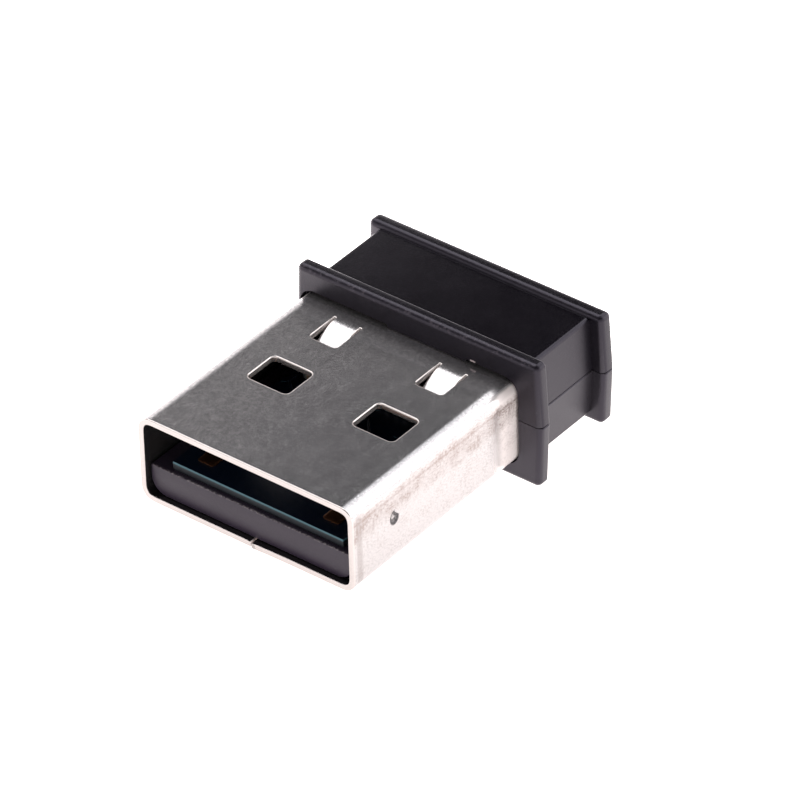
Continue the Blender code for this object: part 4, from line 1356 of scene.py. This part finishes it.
black_plastic = Finish("matt_black_plastic", Metallic=0.0, IOR=1.44,
                       Specular_Tint=(0.88, 0.80, 1.0, 1.0))
plastic_fine = black_plastic.noise(11000.0, 4.0)
plastic_cloud = black_plastic.noise(700.0, 3.0)
plastic_speck = black_plastic.noise(5200.0, 2.0)
plastic_along = black_plastic.axis("Y") - plug_origin.y
plastic_up = black_plastic.axis("Z") - parting
on_middle = black_plastic.band(plastic_along, front_flange_y[1] - 0.00002, front_flange_y[1])
on_middle = on_middle * black_plastic.band(plastic_along, rear_flange_y[0] + 0.00002, rear_flange_y[0])
plastic_crown = black_plastic.band(black_plastic.facing("Z"), 0.80, 0.97) * (0.75 + on_middle * 0.25)
pepper_black = black_plastic.band(plastic_fine, 0.50, 0.70)
plastic_specks = black_plastic.band(plastic_speck, 0.70, 0.76)
flange_crest = black_plastic.band(plastic_along, front_flange_y[0] + 0.00035,
                                  front_flange_y[0] + 0.00010)
flange_crest = flange_crest * black_plastic.band(plastic_up, 0.00300, 0.00322)
flange_crest = flange_crest * black_plastic.band(plastic_speck, 0.52, 0.66)
plastic_color = black_plastic.mix(plastic_cloud, (0.0018, 0.0013, 0.0026, 1.0),
                                  (0.0030, 0.0023, 0.0042, 1.0))
plastic_color = black_plastic.mix(pepper_black * 0.5, plastic_color, (0.0075, 0.0062, 0.0098, 1.0))
plastic_color = black_plastic.mix(plastic_specks * 0.5, plastic_color, (0.030, 0.027, 0.033, 1.0))
plastic_color = black_plastic.mix(flange_crest * 0.6, plastic_color, (0.060, 0.052, 0.060, 1.0))
# Painted light: the half below the parting line is coloured lighter than the upper half.
below_parting = black_plastic.band(plastic_up, 0.0, -0.00002)
plastic_color = black_plastic.mix(below_parting * 0.6, plastic_color, (0.026, 0.024, 0.028, 1.0))
plastic_rough = 0.30 + plastic_cloud * 0.06 + plastic_fine * 0.08 - plastic_crown * 0.20
black_plastic.feed(Base_Color=plastic_color, Roughness=plastic_rough,
                   Normal=black_plastic.bump(plastic_fine * 0.8 + plastic_speck * 0.2, 0.000007))

# A little torn flash on the front flange above the plug, coloured pale as a painted glint.
flash_glint = Finish("flash_glint", Metallic=0.0)
flash_grain = flash_glint.noise(12000.0, 3.0)
flash_glint.feed(Base_Color=flash_glint.mix(flash_grain, (0.20, 0.15, 0.16, 1.0), (0.62, 0.53, 0.53, 1.0)),
                Roughness=0.40 + flash_grain * 0.2)


def in_body(x, y, z):
    """A place measured from the housing's middle, the plug's mouth and the parting plane."""
    return (x, plug_origin.y + y, parting + z)


def half_ring(y, half_width, reach, rounding, inset):
    """Section of a half at y, from its left foot over its crown to its right foot."""
    upward = math.copysign(1.0, reach)
    side = half_width - rounding
    level = abs(reach) - rounding
    radius = max(rounding - inset, 0.00001)
    foot = 0.5 * parting_gap
    points = [(inset + parting_notch - half_width, foot), (inset - half_width, foot + parting_notch)]
    points += quarter(-side, level, radius, 90.0, 9)[::-1]
    points += quarter(side, level, radius, 0.0, 9)[::-1]
    points += [(half_width - inset, foot + parting_notch), (half_width - inset - parting_notch, foot)]
    return [in_body(x - math.copysign(draft * z, x), y, upward * z) for x, z in points]


def flange_rings(y, half_width, reach, rear_round):
    """Sections of a flange whose front and rear edges are rounded over."""
    rings = []
    for step in range(8):
        turn = math.radians(90.0 * step / 7)
        run, rise = 1.0 - math.cos(turn), 1.0 - math.sin(turn)
        rings.append((y[0] + flange_round * run, flange_round * rise))
        rings.append((y[1] - rear_round * run, rear_round * rise))
    return [half_ring(place, half_width, reach, flange_round, inset) for place, inset in sorted(rings)]


def tool_block(x, y, z):
    """Box tool from ranges measured in the housing."""
    return to_mesh("tool", block(in_body(x[0], y[0], min(z)), in_body(x[1], y[1], max(z))))


def pocket_tool():
    """Pocket for the plug, with an upper lip that comes down on the plug's rear tongue."""
    left, right, top = pocket_x[0] + pocket_round, pocket_x[1] - pocket_round, pocket_half_height
    level = top - pocket_round
    low = pocket_round - pocket_floor
    ring = quarter(left, low, pocket_round, 180.0, 10) + quarter(right, low, pocket_round, 270.0, 10)
    ring += quarter(right, level, pocket_round, 0.0, 10)
    ring += [(tongue_x[1] + overlap, top), (tongue_x[1] + 0.5 * overlap, pocket_lip_z)]
    ring += [(tongue_x[0] - 0.5 * overlap, pocket_lip_z), (tongue_x[0] - overlap, top)]
    ring += quarter(left, level, pocket_round, 90.0, 10)
    pocket_mouth = plug_origin.y + front_flange_y[0]
    y_range = (pocket_mouth - overlap, pocket_mouth + pocket_depth)
    bm = lofted([[(plug_origin.x + x, y, plug_origin.z + z) for x, z in ring] for y in y_range])
    return to_mesh("pocket", bm)


def peg(side, radius, z):
    """Round peg in the rear flange, or the tool for its hole."""
    bm = bmesh.new()
    bmesh.ops.create_cone(bm, cap_ends=True, segments=32, radius1=radius, radius2=radius, depth=z[1] - z[0])
    middle = Vector(in_body(side * peg_x, 0.5 * (rear_flange_y[0] + rear_flange_y[1]), 0.5 * (z[0] + z[1])))
    bmesh.ops.translate(bm, vec=middle, verts=bm.verts)
    return to_mesh("peg", bm)


flash_low, flash_high = (plug_origin + Vector((x, front_flange_y[0] + y, z))
                         for x, y, z in zip(flash_x, flash_y, flash_z))
flash_mesh = eased_block(flash_low, flash_high, 0.00003, 2, flash_glint.material)
board_top = board_high.z - parting
board_bottom = board_low.z - parting
for label, upward, front_reach, middle_reach, rear_reach in (
        ("bottom", -1.0, 0.00332, 0.00241, 0.00288),
        ("top", 1.0, 0.00328, 0.00277, 0.00299)):
    rings = flange_rings(front_flange_y, front_half_width, upward * front_reach, front_flange_rear_round)
    rings += [half_ring(y, middle_half_width, upward * middle_reach, middle_round, 0.0)
              for y in (front_flange_y[1], rear_flange_y[0])]
    rings += flange_rings(rear_flange_y, rear_half_width, upward * rear_reach, flange_round)
    half_mesh = to_mesh("half", lofted(rings, False))
    hollow_x = middle_half_width - draft * middle_reach - wall
    ceiling = middle_reach - floor_thickness
    steps = [("DIFFERENCE", tool_block((-hollow_x, hollow_x),
                                       (front_flange_y[0] + pocket_depth - overlap, rear_flange_y[1] - wall),
                                       (-upward * overlap, upward * ceiling))),
             ("DIFFERENCE", pocket_tool())]
    for side, place in zip((-1.0, 1.0), rib_x):
        rib_middle = plug_origin.x + place
        rib_span = (rib_middle - 0.5 * rib_width, rib_middle + 0.5 * rib_width)
        if upward > 0:
            steps.append(("DIFFERENCE", peg(side, peg_hole_radius, (-overlap, peg_reach + overlap))))
            steps.append(("UNION", tool_block(rib_span, upper_rib_y,
                                              (board_top + rib_gap, ceiling + overlap))))
        else:
            steps.append(("UNION", peg(side, peg_radius, (-overlap, peg_reach))))
            steps.append(("UNION", tool_block(rib_span, lower_rib_y,
                                              (board_bottom - rib_gap, -ceiling - overlap))))
    half_mesh = carved(half_mesh, steps, black_plastic.material)
    if upward > 0:
        half_mesh = merged("half_with_flash", [half_mesh, flash_mesh])
    add_piece(f"housing_{label}_moulding", half_mesh, "housing_" + label, "housing_" + label)
